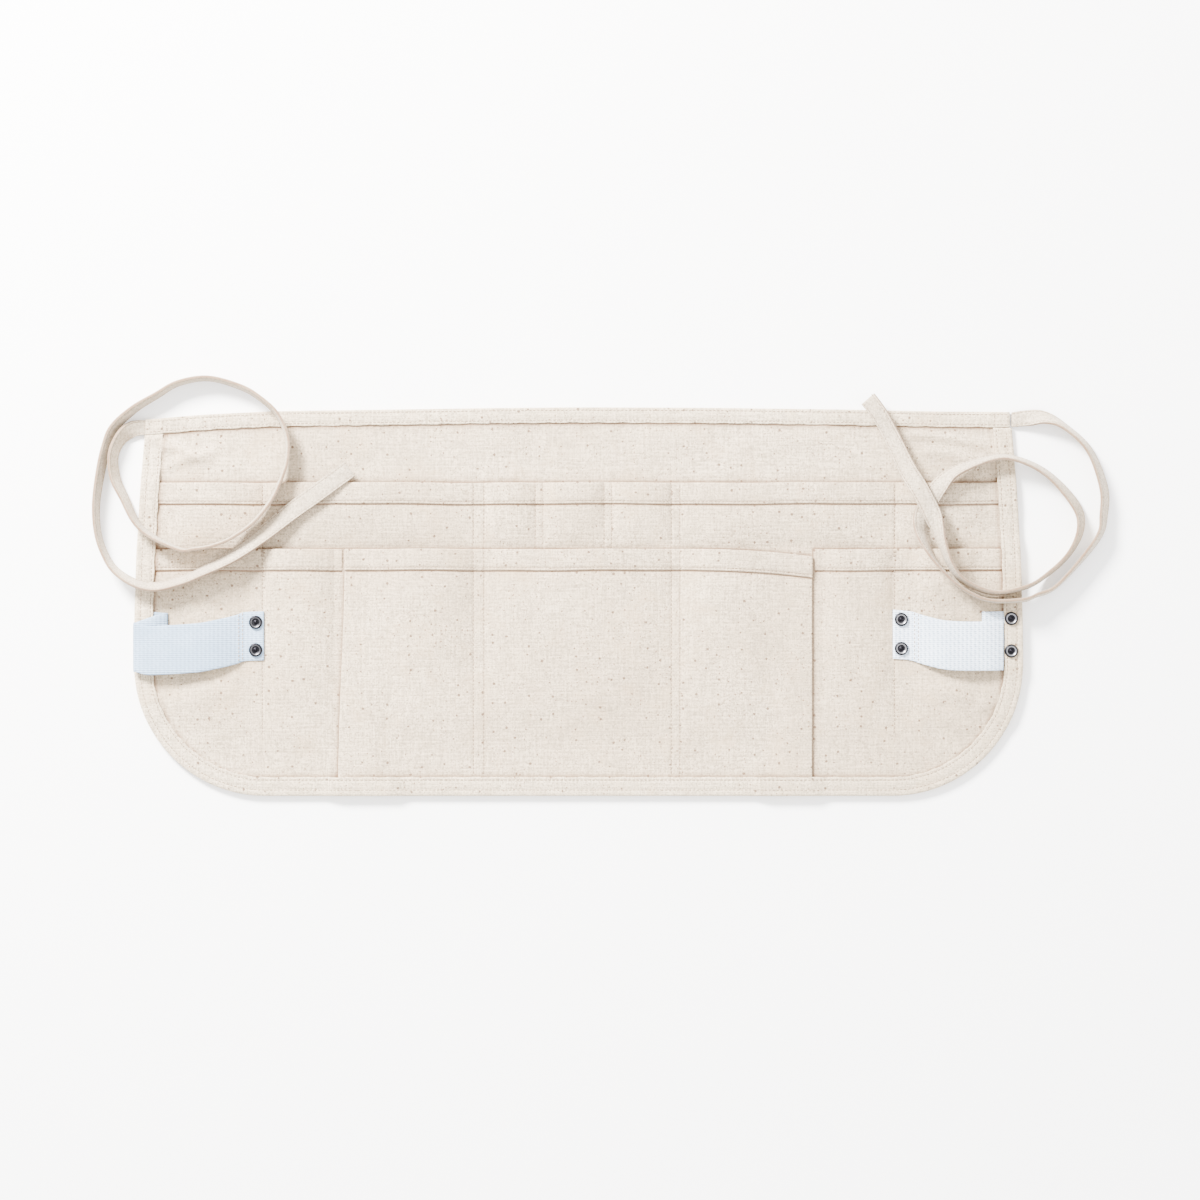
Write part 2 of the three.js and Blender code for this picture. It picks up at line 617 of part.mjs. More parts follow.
// Points round half a circle between two layers, from the first height to the second.
const TURN_STEPS = 4;
function turn(x, outwards, fromZ, toZ, slip) {
  const r = Math.abs(toZ - fromZ) / 2;
  return Array.from({ length: TURN_STEPS + 1 }, (_, k) => {
    const a = (Math.PI * k) / TURN_STEPS;
    return { x: x + outwards * r * Math.sin(a), z: (fromZ + toZ) / 2 + ((fromZ - toZ) / 2) * Math.cos(a), slip };
  });
}

function slackLine(table, fromX, toX) {
  return table.map(({ out, up, slip }) => ({ x: lerp(fromX, toX, out), z: lowest + up * LOOP_RISE, slip }));
}

const turnReach = WEBBING_PITCH / 2 + WEBBING / 2; // from a turn's centre to its outside
const loopStart = SIDE_SEAM_X - LOOP_SETBACK;

function rightLoopLine() {
  const second = lowest + WEBBING_PITCH;
  const outerTurn = BINDING_INNER_X - FOLD_GAP - turnReach;
  const innerTurn = outerTurn - SHORT_TUCK + turnReach;
  return [
    ...slackLine(RIGHT_SLACK, loopStart, outerTurn),
    ...turn(outerTurn, 1, second + WEBBING_PITCH, second, 0.95),
    ...turn(innerTurn, -1, second, lowest, 0.1),
    { x: webbingEndX, z: lowest, slip: 0 },
  ];
}

// On the left the middle layer also passes over the heads of the outer rivets.
function leftLoopLine() {
  const second = lowest + WEBBING_PITCH;
  const overHeads = RIM_WEBBING_LOW + PITCH + RIVET_HEAD_HEIGHT + GAP + WEBBING / 2;
  const outerTurn = HALF_WIDTH - turnReach;
  const innerTurn = outerTurn - LONG_TUCK;
  const climbEnd = HALF_WIDTH - RIVET_FROM_EDGE - RIVET_HEAD_D / 2 - 1;
  return [
    ...slackLine(LEFT_SLACK, loopStart, outerTurn),
    ...turn(outerTurn, 1, overHeads + WEBBING_PITCH, overHeads, 1.1),
    { x: climbEnd, z: overHeads, slip: 0.5 },
    ...turn(innerTurn, -1, second, lowest, 0.2),
    { x: webbingEndX, z: lowest, slip: 0 },
  ];
}

function webbingLoop(side, line) {
  const points = line.map(({ x, z }) => new THREE.Vector2(x, z));
  const half = WEBBING / 2;
  const stations = points.map((p, i) => {
    const before = points[Math.max(0, i - 1)];
    const after = points[Math.min(points.length - 1, i + 1)];
    const a = new THREE.Vector2().subVectors(i ? p : after, i ? before : p).normalize();
    const b = new THREE.Vector2().subVectors(i < points.length - 1 ? after : p, i < points.length - 1 ? p : before);
    b.normalize();
    const along = new THREE.Vector2().addVectors(a, b).normalize();
    const stretch = half / Math.max(0.6, along.dot(a));
    const [nx, nz] = [-along.y * stretch, along.x * stretch];
    const y = LOOP_Y - line[i].slip * LOOP_SLIP;
    return [
      [side * (p.x - nx), y - HALF_WEBBING, p.y - nz],
      [side * (p.x - nx), y + HALF_WEBBING, p.y - nz],
      [side * (p.x + nx), y + HALF_WEBBING, p.y + nz],
      [side * (p.x + nx), y - HALF_WEBBING, p.y + nz],
    ];
  });
  return solidOf(sweep(stations)).subtract(postHoles);
}

// A tubular rivet: a flat tail, a post and a domed head with a ring round its recessed middle.
const HEAD_PROFILE = [
  { r: 1, up: 0 },
  { r: 1, up: 0.4 },
  { r: 0.82, up: 1 },
  { r: 0.6, up: 0.86 },
  { r: 0.52, up: 0.4 },
  { r: 0.24, up: 0.4 },
  { r: 0.16, up: 0.8 },
  { r: 0, up: 0.8 },
];
function rivet(place) {
  const tailHigh = CLOTH;
  const low = headLow(place);
  const profile = [
    [0, tailHigh - RIVET_TAIL_HEIGHT],
    [RIVET_TAIL_D / 2, tailHigh - RIVET_TAIL_HEIGHT],
    [RIVET_TAIL_D / 2, tailHigh],
    [RIVET_POST_D / 2, tailHigh],
    [RIVET_POST_D / 2, low],
    ...HEAD_PROFILE.map(({ r, up }) => [(r * RIVET_HEAD_D) / 2, low + up * RIVET_HEAD_HEIGHT]),
  ];
  const points = profile.map(([r, z]) => new THREE.Vector2(r, z));
  const g = new THREE.LatheGeometry(points, ROUND_SIDES);
  g.rotateX(Math.PI / 2);
  g.translate(place.x, place.y, 0);
  return solidOf(g);
}

// Ties: flat cords that lie free. A route runs from the waistband's end along the middle of the tie. Roll is
// in degrees, 0 where the tie lies flat and 90 where it stands on edge, and wide is a share of TIE_WIDTH.
const LEFT_TIE = [
  { x: -346.85, y: 139.4, z: 1.9, roll: 0, wide: 0.8 },
  { x: -357, y: 138, z: 3.9, roll: -20, wide: 0.9 },
  { x: -366, y: 130.6, z: 6.8, roll: -55, wide: 1 },
  { x: -372, y: 117, z: 7.4, roll: -66, wide: 1 },
  { x: -370.6, y: 99, z: 7.4, roll: -66, wide: 1 },
  { x: -362.8, y: 82, z: 8.4, roll: -72, wide: 1 },
  { x: -353.6, y: 64, z: 12.6, roll: -78, wide: 1 },
  { x: -341.2, y: 52.4, z: 13.6, roll: -82, wide: 1 },
  { x: -318, y: 41.6, z: 16.4, roll: -86, wide: 1 },
  { x: -306, y: 42, z: 18.8, roll: -86, wide: 1 },
  { x: -292, y: 44.4, z: 19.9, roll: -85, wide: 1 },
  { x: -277.2, y: 50.4, z: 17.2, roll: -84, wide: 1 },
  { x: -260, y: 62.8, z: 14.2, roll: -82, wide: 1 },
  { x: -246.8, y: 78.8, z: 13.6, roll: -80, wide: 1 },
  { x: -238.4, y: 95, z: 14.4, roll: -80, wide: 1 },
  { x: -232.8, y: 113.2, z: 12.4, roll: -80, wide: 1 },
  { x: -232.9, y: 132, z: 11.5, roll: -80, wide: 1 },
  { x: -240.6, y: 149.4, z: 11.5, roll: -80, wide: 1 },
  { x: -254, y: 162, z: 10.2, roll: -80, wide: 1 },
  { x: -270, y: 171.4, z: 7.9, roll: -80, wide: 1 },
  { x: -296, y: 178.4, z: 7.7, roll: -82, wide: 1 },
  { x: -320, y: 174.6, z: 7.7, roll: -82, wide: 1 },
  { x: -337, y: 165, z: 7.7, roll: -80, wide: 1 },
  { x: -355.4, y: 153.8, z: 7.6, roll: -75, wide: 1 },
  { x: -371.2, y: 139, z: 7.5, roll: -70, wide: 1 },
  { x: -377.6, y: 123.6, z: 7.5, roll: -70, wide: 1 },
  { x: -382.4, y: 103, z: 7.5, roll: -73, wide: 1 },
  { x: -385.8, y: 77, z: 7.7, roll: -78, wide: 1 },
  { x: -384.4, y: 55, z: 7.7, roll: -80, wide: 1 },
  { x: -379, y: 38.4, z: 7.9, roll: -80, wide: 1 },
  { x: -370, y: 25, z: 10.2, roll: -76, wide: 1 },
  { x: -354, y: 14.8, z: 14.3, roll: -70, wide: 1 },
  { x: -337.6, y: 11.6, z: 14, roll: -66, wide: 1 },
  { x: -318, y: 16.2, z: 14.8, roll: -64, wide: 1 },
  { x: -300, y: 23.4, z: 19.2, roll: -62, wide: 1 },
  { x: -276.4, y: 35.6, z: 17.8, roll: -48, wide: 1 },
  { x: -254, y: 52, z: 11.8, roll: -32, wide: 1 },
  { x: -230.8, y: 70.8, z: 9.9, roll: -15, wide: 1 },
  { x: -207, y: 88, z: 11.8, roll: -6, wide: 1 },
  { x: -182.8, y: 106, z: 10.4, roll: 0, wide: 1 },
];
const RIGHT_TIE = [
  { x: 346.85, y: 145.6, z: 1.9, roll: 0, wide: 0.8 },
  { x: 359, y: 146.8, z: 3.2, roll: -15, wide: 0.9 },
  { x: 373, y: 147, z: 6.6, roll: -48, wide: 1 },
  { x: 388, y: 140.4, z: 7.5, roll: -70, wide: 1 },
  { x: 408, y: 121.6, z: 7.5, roll: -68, wide: 1 },
  { x: 419.8, y: 92, z: 7.3, roll: -60, wide: 1 },
  { x: 420, y: 70, z: 7.4, roll: -62, wide: 1 },
  { x: 414.6, y: 49.6, z: 7.6, roll: -72, wide: 1 },
  { x: 384, y: 13.8, z: 7.9, roll: -82, wide: 1 },
  { x: 366, y: 5, z: 10.8, roll: -82, wide: 1 },
  { x: 353, y: 1, z: 14.8, roll: -84, wide: 1 },
  { x: 328, y: 0.8, z: 14.2, roll: -87, wide: 1 },
  { x: 310, y: 8, z: 15.6, roll: -90, wide: 1 },
  { x: 298, y: 16.8, z: 18.4, roll: -94, wide: 1 },
  { x: 284, y: 32.4, z: 19.6, roll: -101, wide: 1 },
  { x: 276, y: 47, z: 16.8, roll: -118, wide: 1 },
  { x: 272.8, y: 58, z: 13, roll: -134, wide: 1 },
  { x: 274.8, y: 69.2, z: 10.9, roll: -165, wide: 1 },
  { x: 280.4, y: 80.4, z: 11.2, roll: -182, wide: 1 },
  { x: 288, y: 92, z: 15.2, roll: -208, wide: 1 },
  { x: 300, y: 103.4, z: 14.7, roll: -238, wide: 1 },
  { x: 326, y: 113.4, z: 11.2, roll: -254, wide: 1 },
  { x: 346, y: 114.8, z: 11.4, roll: -256, wide: 1 },
  { x: 374, y: 102.6, z: 7.9, roll: -250, wide: 1 },
  { x: 397.6, y: 77, z: 7.3, roll: -240, wide: 1 },
  { x: 401.4, y: 58, z: 7.4, roll: -246, wide: 1 },
  { x: 392, y: 37.8, z: 7.7, roll: -256, wide: 1 },
  { x: 374, y: 21, z: 8, roll: -260, wide: 1 },
  { x: 356.8, y: 11.4, z: 14.1, roll: -262, wide: 1 },
  { x: 331, y: 6.9, z: 14.3, roll: -262, wide: 1 },
  { x: 307, y: 16.6, z: 17.4, roll: -260, wide: 1 },
  { x: 296, y: 30, z: 20.1, roll: -258, wide: 1 },
  { x: 290, y: 46, z: 19.2, roll: -250, wide: 1 },
  { x: 286, y: 59.6, z: 16.8, roll: -228, wide: 1 },
  { x: 281, y: 72, z: 16.6, roll: -188, wide: 1 },
  { x: 272.1, y: 89.2, z: 16.8, roll: -184, wide: 1 },
  { x: 262, y: 107, z: 12.4, roll: -202, wide: 1 },
  { x: 251, y: 131, z: 8.6, roll: -214, wide: 1 },
  { x: 240.4, y: 150, z: 9.4, roll: -214, wide: 1 },
  { x: 231.4, y: 162, z: 8.2, roll: -210, wide: 1 },
];

const TIE_STEPS = 2; // between two points of the route
const TIE_BEVEL = 0.5; // share of the thickness
function tie(route) {
  const keys = ["x", "y", "z", "roll", "wide"];
  const last = route.length - 1;
  const at = (i) => route[Math.min(last, Math.max(0, i))];
  const between = (i, t) => {
    const [a, b, c, d] = [at(i - 1), at(i), at(i + 1), at(i + 2)];
    const value = (k) =>
      b[k] +
      0.5 * t * (c[k] - a[k] + t * (2 * a[k] - 5 * b[k] + 4 * c[k] - d[k] + t * (3 * (b[k] - c[k]) + d[k] - a[k])));
    return Object.fromEntries(keys.map((k) => [k, value(k)]));
  };
  const path = [];
  for (let i = 0; i < last; i++) for (let k = 0; k < TIE_STEPS; k++) path.push(between(i, k / TIE_STEPS));
  path.push(route[last]);
  const spots = path.map((p) => new THREE.Vector3(p.x, p.y, p.z));
  const up = new THREE.Vector3(0, 0, 1);
  const stations = path.map((p, i) => {
    const before = spots[Math.max(0, i - 1)];
    const after = spots[Math.min(spots.length - 1, i + 1)];
    const along = i ? new THREE.Vector3().subVectors(after, before) : new THREE.Vector3(Math.sign(p.x), 0, 0);
    along.normalize();
    const right = new THREE.Vector3().crossVectors(along, up).normalize();
    right.applyAxisAngle(along, (p.roll * Math.PI) / 180);
    const face = new THREE.Vector3().crossVectors(right, along);
    const w = (p.wide * TIE_WIDTH) / 2;
    const h = TIE_THICKNESS / 2;
    const b = TIE_BEVEL * h;
    const section = [[w, -h + b], [w, h - b], [w - b, h], [b - w, h], [-w, h - b], [-w, b - h], [b - w, -h], [w - b, -h]];
    return section.map(([u, v]) => spots[i].clone().addScaledVector(right, u).addScaledVector(face, v).toArray());
  });
  return solidOf(sweep(stations));
}

// Assembly
const canvas = { color: 0xe8e0d6, roughness: 0.92, metalness: 0 };
const webbing = { color: 0xe1e8f0, roughness: 0.9, metalness: 0 };
const tape = { color: 0xeee9e2, roughness: 0.9, metalness: 0 };
const nickel = { color: 0x3a3a3e, roughness: 0.35, metalness: 1 };
const group = new THREE.Group();
function add(name, solid, look) {
  const mesh = new THREE.Mesh(geometryOfSolid(solid), new THREE.MeshStandardMaterial(look));
  mesh.name = name;
  group.add(mesh);
}

add("back_panel", backPanel(), canvas);
add("upper_pocket_panel", upperPocketPanel(), canvas);
add("side_pocket_left", sidePocket(-1), canvas);
add("side_pocket_right", sidePocket(1), canvas);
add("nail_pocket", nailPocket(), canvas);
add("edge_binding", edgeBinding(), canvas);
add("waistband", waistband(), canvas);
add("hammer_loop_left", webbingLoop(-1, leftLoopLine()), webbing);
add("hammer_loop_right", webbingLoop(1, rightLoopLine()), webbing);
for (const place of RIVETS) add(place.name, rivet(place), nickel);
add("tie_left", tie(LEFT_TIE), tape);
add("tie_right", tie(RIGHT_TIE), tape);

export default group;
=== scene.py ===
# The look of a carpenter's nail apron that lies on its back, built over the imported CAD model.
# Sizes below are in millimetres in the row's frame, X across, +Y towards the waistband, +Z up, and each
# mesh is scaled to metres as it is made.
import json
import math

import bmesh
import bpy
import numpy as np
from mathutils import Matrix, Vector

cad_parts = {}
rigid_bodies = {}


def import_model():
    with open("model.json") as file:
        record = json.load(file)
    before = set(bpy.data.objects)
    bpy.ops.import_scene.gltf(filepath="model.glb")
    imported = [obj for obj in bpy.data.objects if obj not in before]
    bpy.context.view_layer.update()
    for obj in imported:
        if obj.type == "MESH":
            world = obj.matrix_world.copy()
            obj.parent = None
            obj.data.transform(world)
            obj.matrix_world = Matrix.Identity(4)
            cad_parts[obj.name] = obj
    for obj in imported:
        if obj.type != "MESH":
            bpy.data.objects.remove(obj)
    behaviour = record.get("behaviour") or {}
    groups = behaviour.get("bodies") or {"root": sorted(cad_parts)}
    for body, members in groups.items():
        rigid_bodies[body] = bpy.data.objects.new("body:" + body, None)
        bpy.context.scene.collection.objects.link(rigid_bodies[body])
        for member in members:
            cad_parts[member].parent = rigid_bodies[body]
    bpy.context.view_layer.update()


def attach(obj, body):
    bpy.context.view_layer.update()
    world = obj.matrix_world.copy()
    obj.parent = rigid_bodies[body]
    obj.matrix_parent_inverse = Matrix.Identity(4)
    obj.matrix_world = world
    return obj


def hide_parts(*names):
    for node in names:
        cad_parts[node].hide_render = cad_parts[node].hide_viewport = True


for old in list(bpy.data.objects):
    bpy.data.objects.remove(old)
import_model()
MM = 0.001


def add(name, data):
    made = bpy.data.objects.new(name, data)
    bpy.context.scene.collection.objects.link(made)
    return made


# The camera looks straight down, as in the photograph, with a long lens: these three are in metres.
VIEW_WIDTH = 0.96
VIEW_CENTRE = (0.0172, 0.0012, 0.006)
CAMERA_HEIGHT = 3.0
SENSOR = 36
camera_data = bpy.data.cameras.new("camera")
camera_data.sensor_width = SENSOR
camera_data.lens = SENSOR * CAMERA_HEIGHT / VIEW_WIDTH
camera_data.clip_end = 20
camera = add("camera", camera_data)
camera.location = (VIEW_CENTRE[0], VIEW_CENTRE[1], VIEW_CENTRE[2] + CAMERA_HEIGHT)
bpy.context.scene.camera = camera

# Sizes of the apron, as in the CAD source
HALF_WIDTH = 355.6
HALF_HEIGHT = 155.6
CORNER_RADIUS = 104.6
CORNER_X = HALF_WIDTH - CORNER_RADIUS
CORNER_Y = CORNER_RADIUS - HALF_HEIGHT
SIDE_FLARE = 9.1
WAIST_DROP = 10.8
WAISTBAND = 12.4
SIDE_TOP_Y = HALF_HEIGHT - WAISTBAND
BINDING = 15.0
CLOTH = 1.0
GAP = 0.35
PITCH = CLOTH + GAP
INSET = PITCH
HEM_EXTRA = 0.9
HEM_DEPTH = 16.8
BACK_LOW = PITCH
UPPER_LOW = 2 * PITCH
LOWER_LOW = 3 * PITCH
WEBBING_LOW = 4 * PITCH
WEBBING = 1.3
WEBBING_PITCH = WEBBING + GAP
WEBBING_WIDTH = 39.2
RIM_WEBBING_LOW = WEBBING_LOW + WEBBING_PITCH
UPPER_MOUTH = 95.6
UPPER_FLOOR = -75.0
LOWER_MOUTH = 42.4
LOWER_FLOOR = -111.6
LOWER_HEIGHT = HALF_HEIGHT + LOWER_MOUTH
UPPER_GAPE = 5.4
SIDE_GAPE = 6.4
NAIL_GAPE = 7.5
CORNER_SAG = 6.0
LOOP_Y = -27.0
LOOP_RISE = 8.3
LOOP_SLIP = 8.6
RIGHT_TUCK = 15.0
LEFT_TUCK = 24.0
RIVET_FROM_SEAM = 5.2
RIVET_FROM_EDGE = 9.6
RIVET_SPACING = 24.0
RIVET_HEAD_R = 5.4
RIVET_HEAD_HEIGHT = 1.9
RIVET_TAIL_R = 4.5
RIVET_POST_R = 2.0
FOLD_X = 187.0
FOLD_SLANT = 5.5
FOLD_TUCK = 15.0
SEAM_X = 253.0
# x of each seam's middle, half the way between its stitch rows, and whether it runs through both tiers
SEAMS = [
    (-SEAM_X, 1.2, True),
    (-79.95, 4.4, True),
    (-31.6, 3.2, False),
    (23.5, 3.2, False),
    (77.7, 3.6, True),
    (SEAM_X, 1.2, True),
]
HANDS = ((-1, "left"), (1, "right"))
# The waistband's sag: places as shares of the half width, and drops as shares of the whole drop
WAIST_AT = [-1, -0.85, -0.68, -0.42, -0.2, 0, 0.3, 0.6, 0.8, 1]
WAIST_DROPS = [1, 0.55, 0.28, 0.17, 0.06, 0, 0.04, 0.17, 0.31, 0.36]


def smooth(t):
    s = np.clip(t, 0, 1)
    return s * s * (3 - 2 * s)


def bell(distance, width):
    return np.exp(-((distance / width) ** 2))


def surface(x, y, z):
    return np.stack([x, y, z], -1)


def unit(vectors):
    return vectors / (np.linalg.norm(vectors, axis=1)[:, None] + 1e-12)


def waist_top(x):
    x = np.asarray(x, float)
    shifts = (-14, -7, 0, 7, 14)
    drops = [np.interp((x + s) / HALF_WIDTH, WAIST_AT, WAIST_DROPS) for s in shifts]
    return HALF_HEIGHT - WAIST_DROP * sum(drops) / len(shifts)


def half_width(y):
    lean = (np.maximum(y, CORNER_Y) - CORNER_Y) / (SIDE_TOP_Y - CORNER_Y)
    return HALF_WIDTH - SIDE_FLARE * lean**2


def reach(y, inset):
    """Half the apron's width at a height, drawn in by an inset, with its round corners."""
    r = CORNER_RADIUS - inset
    down = np.clip(CORNER_Y - y, 0, r)
    return np.where(y < CORNER_Y, CORNER_X + np.sqrt(r * r - down * down), half_width(y) - inset)


# Pocket fronts bulge between their seams.
UPPER_END = HALF_WIDTH - BINDING - 15
UPPER_EDGES = [(-UPPER_END, 0)] + [(x, h) for x, h, _ in SEAMS] + [(UPPER_END, 0)]
NAIL_END = FOLD_X - FOLD_TUCK - 6
NAIL_SEAMS = [(x, h) for x, h, both in SEAMS if both and abs(x) < FOLD_X]
NAIL_EDGES = [(-NAIL_END, 0)] + NAIL_SEAMS + [(NAIL_END, 0)]
SIDE_POCKETS = [(FOLD_X + FOLD_SLANT + 3, SEAM_X - 1.2), (SEAM_X + 15, HALF_WIDTH - BINDING - 23)]
FULLNESS = 0.95


def between(edges):
    """The stretches between seams, each drawn in by half the way between its stitch rows."""
    return [(a + h, b - k) for (a, h), (b, k) in zip(edges, edges[1:])]


def dome(x, pockets, height, share):
    """How far the cloth bulges, at most the height or a share of the pocket's width."""
    out = np.zeros_like(x)
    for start, end in pockets:
        s = np.clip(np.abs(x - (start + end) / 2) / ((end - start) / 2), 0, 1)
        out += min(height, share * (end - start)) * (1 - s**2.5)
    return out * FULLNESS


def rising(y, floor, mouth, power):
    return 1 - (1 - np.clip((y - floor) / (mouth - floor), 0, 1)) ** power


def ridge(x, y, start, end, width, height):
    """A soft crease that runs from one place to another."""
    (ax, ay), (bx, by) = start, end
    length = math.hypot(bx - ax, by - ay)
    ux, uy = (bx - ax) / length, (by - ay) / length
    along = ((x - ax) * ux + (y - ay) * uy) / length
    bend = 0.035 * length * np.sin(np.pi * np.clip(along, 0, 1))
    across = (x - ax) * uy - (y - ay) * ux + bend
    ends = smooth(along / 0.35 + 0.35) * smooth((1 - along) / 0.35 + 0.35)
    return height * ends * bell(across, width)


def creased(z, x, y, creases):
    for start, end, width, height in creases:
        z = z + ridge(x, y, start, end, width, height)
    return z


# Soft creases: start, end, width and height
BACK_CREASES = [
    ((262, 134), (326, 124), 3.4, 3.4),
    ((272, 121), (316, 113), 4.0, 2.4),
    ((205, 136), (148, 128), 9.0, 1.2),
    ((-340, 128), (-296, 110), 4.2, 3.4),
    ((-334, 106), (-288, 121), 4.0, 2.4),
    ((-214, 134), (-160, 120), 9.0, 1.1),
    ((-96, 132), (-40, 122), 10.0, 0.9),
    ((40, 124), (104, 131), 11.0, 0.9),
]
SIDE_CREASES = [
    ((284, -66), (330, -88), 9, 1.7),
    ((290, -92), (322, -108), 8, 1.0),
    ((206, -20), (238, -74), 13, 1.3),
    ((-236, -14), (-208, -70), 13, 1.4),
    ((-330, -84), (-276, -70), 10, 1.4),
    ((-262, -92), (-218, -118), 10, 1.0),
]
NAIL_CREASES = [
    ((-150, 12), (-104, -46), 15, 1.2),
    ((-58, 2), (26, -34), 20, 1.3),
    ((56, -20), (8, -88), 18, 0.9),
    ((102, 8), (146, -58), 14, 1.3),
    ((-140, -84), (-98, -118), 13, 0.8),
]


def back_low(x, y):
    return creased(BACK_LOW + 0 * x, x, y, BACK_CREASES)


def upper_low(x, y):
    bulge = dome(x, between(UPPER_EDGES), UPPER_GAPE, 0.115)
    return UPPER_LOW + bulge * rising(y, LOWER_MOUTH + 2, UPPER_MOUTH, 3)


RAMP_TOP = UPPER_FLOOR - 2


def lower_flat(x, y):
    """The lower pockets come down by one layer below the upper panel's end, sooner beside the binding."""
    inside = smooth((reach(y, 0) - np.abs(x) - 18) / 14)
    return LOWER_LOW - PITCH * smooth((RAMP_TOP - y) / (10 + 38 * inside))


def lower_rise(y):
    return rising(y, LOWER_FLOOR, LOWER_MOUTH, 1.8)


def side_low(x, y):
    beyond = np.abs(y - LOOP_Y + LOOP_SLIP / 2) - WEBBING_WIDTH / 2 - 5
    pressed = np.where(np.abs(x) < SEAM_X, 1, 1 - 0.6 * (1 - smooth(beyond / 22)))
    z = lower_flat(x, y) + dome(np.abs(x), SIDE_POCKETS, SIDE_GAPE, 0.16) * lower_rise(y) * pressed
    return creased(z, x, y, SIDE_CREASES)


PLEAT_FULL = FOLD_X - FOLD_TUCK - 4
PLEAT_START = PLEAT_FULL - 18


def nail_low(x, y):
    pleat = 2 * PITCH * smooth((np.abs(x) - PLEAT_START) / (PLEAT_FULL - PLEAT_START))
    z = lower_flat(x, y) + dome(x, between(NAIL_EDGES), NAIL_GAPE, 0.16) * lower_rise(y) + pleat
    return creased(z, x, y, NAIL_CREASES)


def nail_sag(x):
    """How far the nail pocket's mouth hangs down towards its right corner."""
    return CORNER_SAG * np.maximum(0, (x / FOLD_X - 0.6) / 0.4) ** 1.5


def nail_mouth(x):
    return LOWER_MOUTH - nail_sag(x)


# Materials
class Graph:
    """Builds one material's nodes."""

    def __init__(self, name):
        self.material = bpy.data.materials.new(name)
        self.material.use_nodes = True
        self.nodes = self.material.node_tree.nodes
        self.links = self.material.node_tree.links
        self.shader = self.nodes["Principled BSDF"]
        self.place = self.nodes.new("ShaderNodeTexCoord").outputs["Object"]

    def put(self, socket, value):
        if isinstance(value, bpy.types.NodeSocket):
            self.links.new(value, socket)
        else:
            socket.default_value = value

    def node(self, kind, inputs, **settings):
        """A new node's outputs: its inputs go by name or number, to values or to other nodes' outputs."""
        node = self.nodes.new("ShaderNode" + kind)
        for name, value in settings.items():
            setattr(node, name, value)
        for name, value in inputs.items():
            self.put(node.inputs[name], value)
        return node.outputs

    def maths(self, operation, a, b, clamp=False):
        return self.node("Math", {0: a, 1: b}, operation=operation, use_clamp=clamp)[0]

    def plus(self, a, b):
        return self.maths("ADD", a, b)

    def times(self, a, b, clamp=False):
        return self.maths("MULTIPLY", a, b, clamp)

    def scaled(self, x, y, z, turn=0.0):
        inputs = {"Vector": self.place, "Scale": (x, y, z), "Rotation": (0, 0, turn)}
        return self.node("Mapping", inputs)[0]

    def noise(self, scale, detail=2.0, rough=0.5, place=None, distort=0.0):
        inputs = {"Vector": place or self.place, "Scale": scale, "Detail": detail, "Roughness": rough}
        return self.node("TexNoise", inputs | {"Distortion": distort})[0]

    def ribs(self, pitch, direction, wander):
        """Threads side by side: pitch in millimetres."""
        inputs = {"Vector": self.place, "Scale": 0.3142 / (pitch * MM), "Distortion": wander}
        inputs |= {"Detail": 2.0, "Detail Scale": 0.4}
        return self.node("TexWave", inputs, wave_type="BANDS", bands_direction=direction)["Fac"]

    def ramp(self, value, low, high):
        inputs = {"Value": value, "From Min": low, "From Max": high}
        return self.node("MapRange", inputs, interpolation_type="SMOOTHSTEP")[0]

    def blend(self, share, a, b):
        a, b = ((*colour, 1) if isinstance(colour, tuple) else colour for colour in (a, b))
        return self.node("Mix", {0: share, 6: a, 7: b}, data_type="RGBA")[2]

    def bump(self, height, distance, under=None):
        """Relief so many millimetres deep, over another bump if one is given."""
        inputs = {"Height": height, "Distance": distance * MM}
        if under:
            inputs["Normal"] = under
        return self.node("Bump", inputs)[0]

    def shade(self):
        """The painted shade, or on metal the painted reflection, kept at each point of the mesh."""
        return self.node("Attribute", {}, attribute_name="shade")["Fac"]

    def specks(self, cell, size, share, flat):
        """Bits of seed husk, one to some of the cells: cell and size in millimetres."""
        grain = self.node("TexNoise", {"Vector": self.place, "Scale": 900})["Color"]
        jitter = self.node("VectorMath", {0: grain, "Scale": 0.0009}, operation="SCALE")[0]
        inputs = {"Scale": 1 / (cell * MM)}
        inputs["Vector"] = self.node("VectorMath", {0: self.place, 1: jitter}, operation="ADD")[0]
        cells = self.node("TexVoronoi", inputs, voronoi_dimensions="2D" if flat else "3D")
        pick = self.node("SeparateColor", {0: cells["Color"]})
        near = self.maths("LESS_THAN", cells["Distance"], self.times(pick[0], size / cell))
        chosen = self.maths("LESS_THAN", pick[1], share)
        return self.times(near, chosen)

    def finish(self, inputs):
        """Set the shader's inputs, by name, to plain values or to other nodes' outputs."""
        for name, value in inputs.items():
            self.put(self.shader.inputs[name], value)
        return self.material


# Colour of the painted shade lines on cloth
SHADE_BROWN = (0.165, 0.095, 0.052)
HUSK = (0.1, 0.055, 0.03)


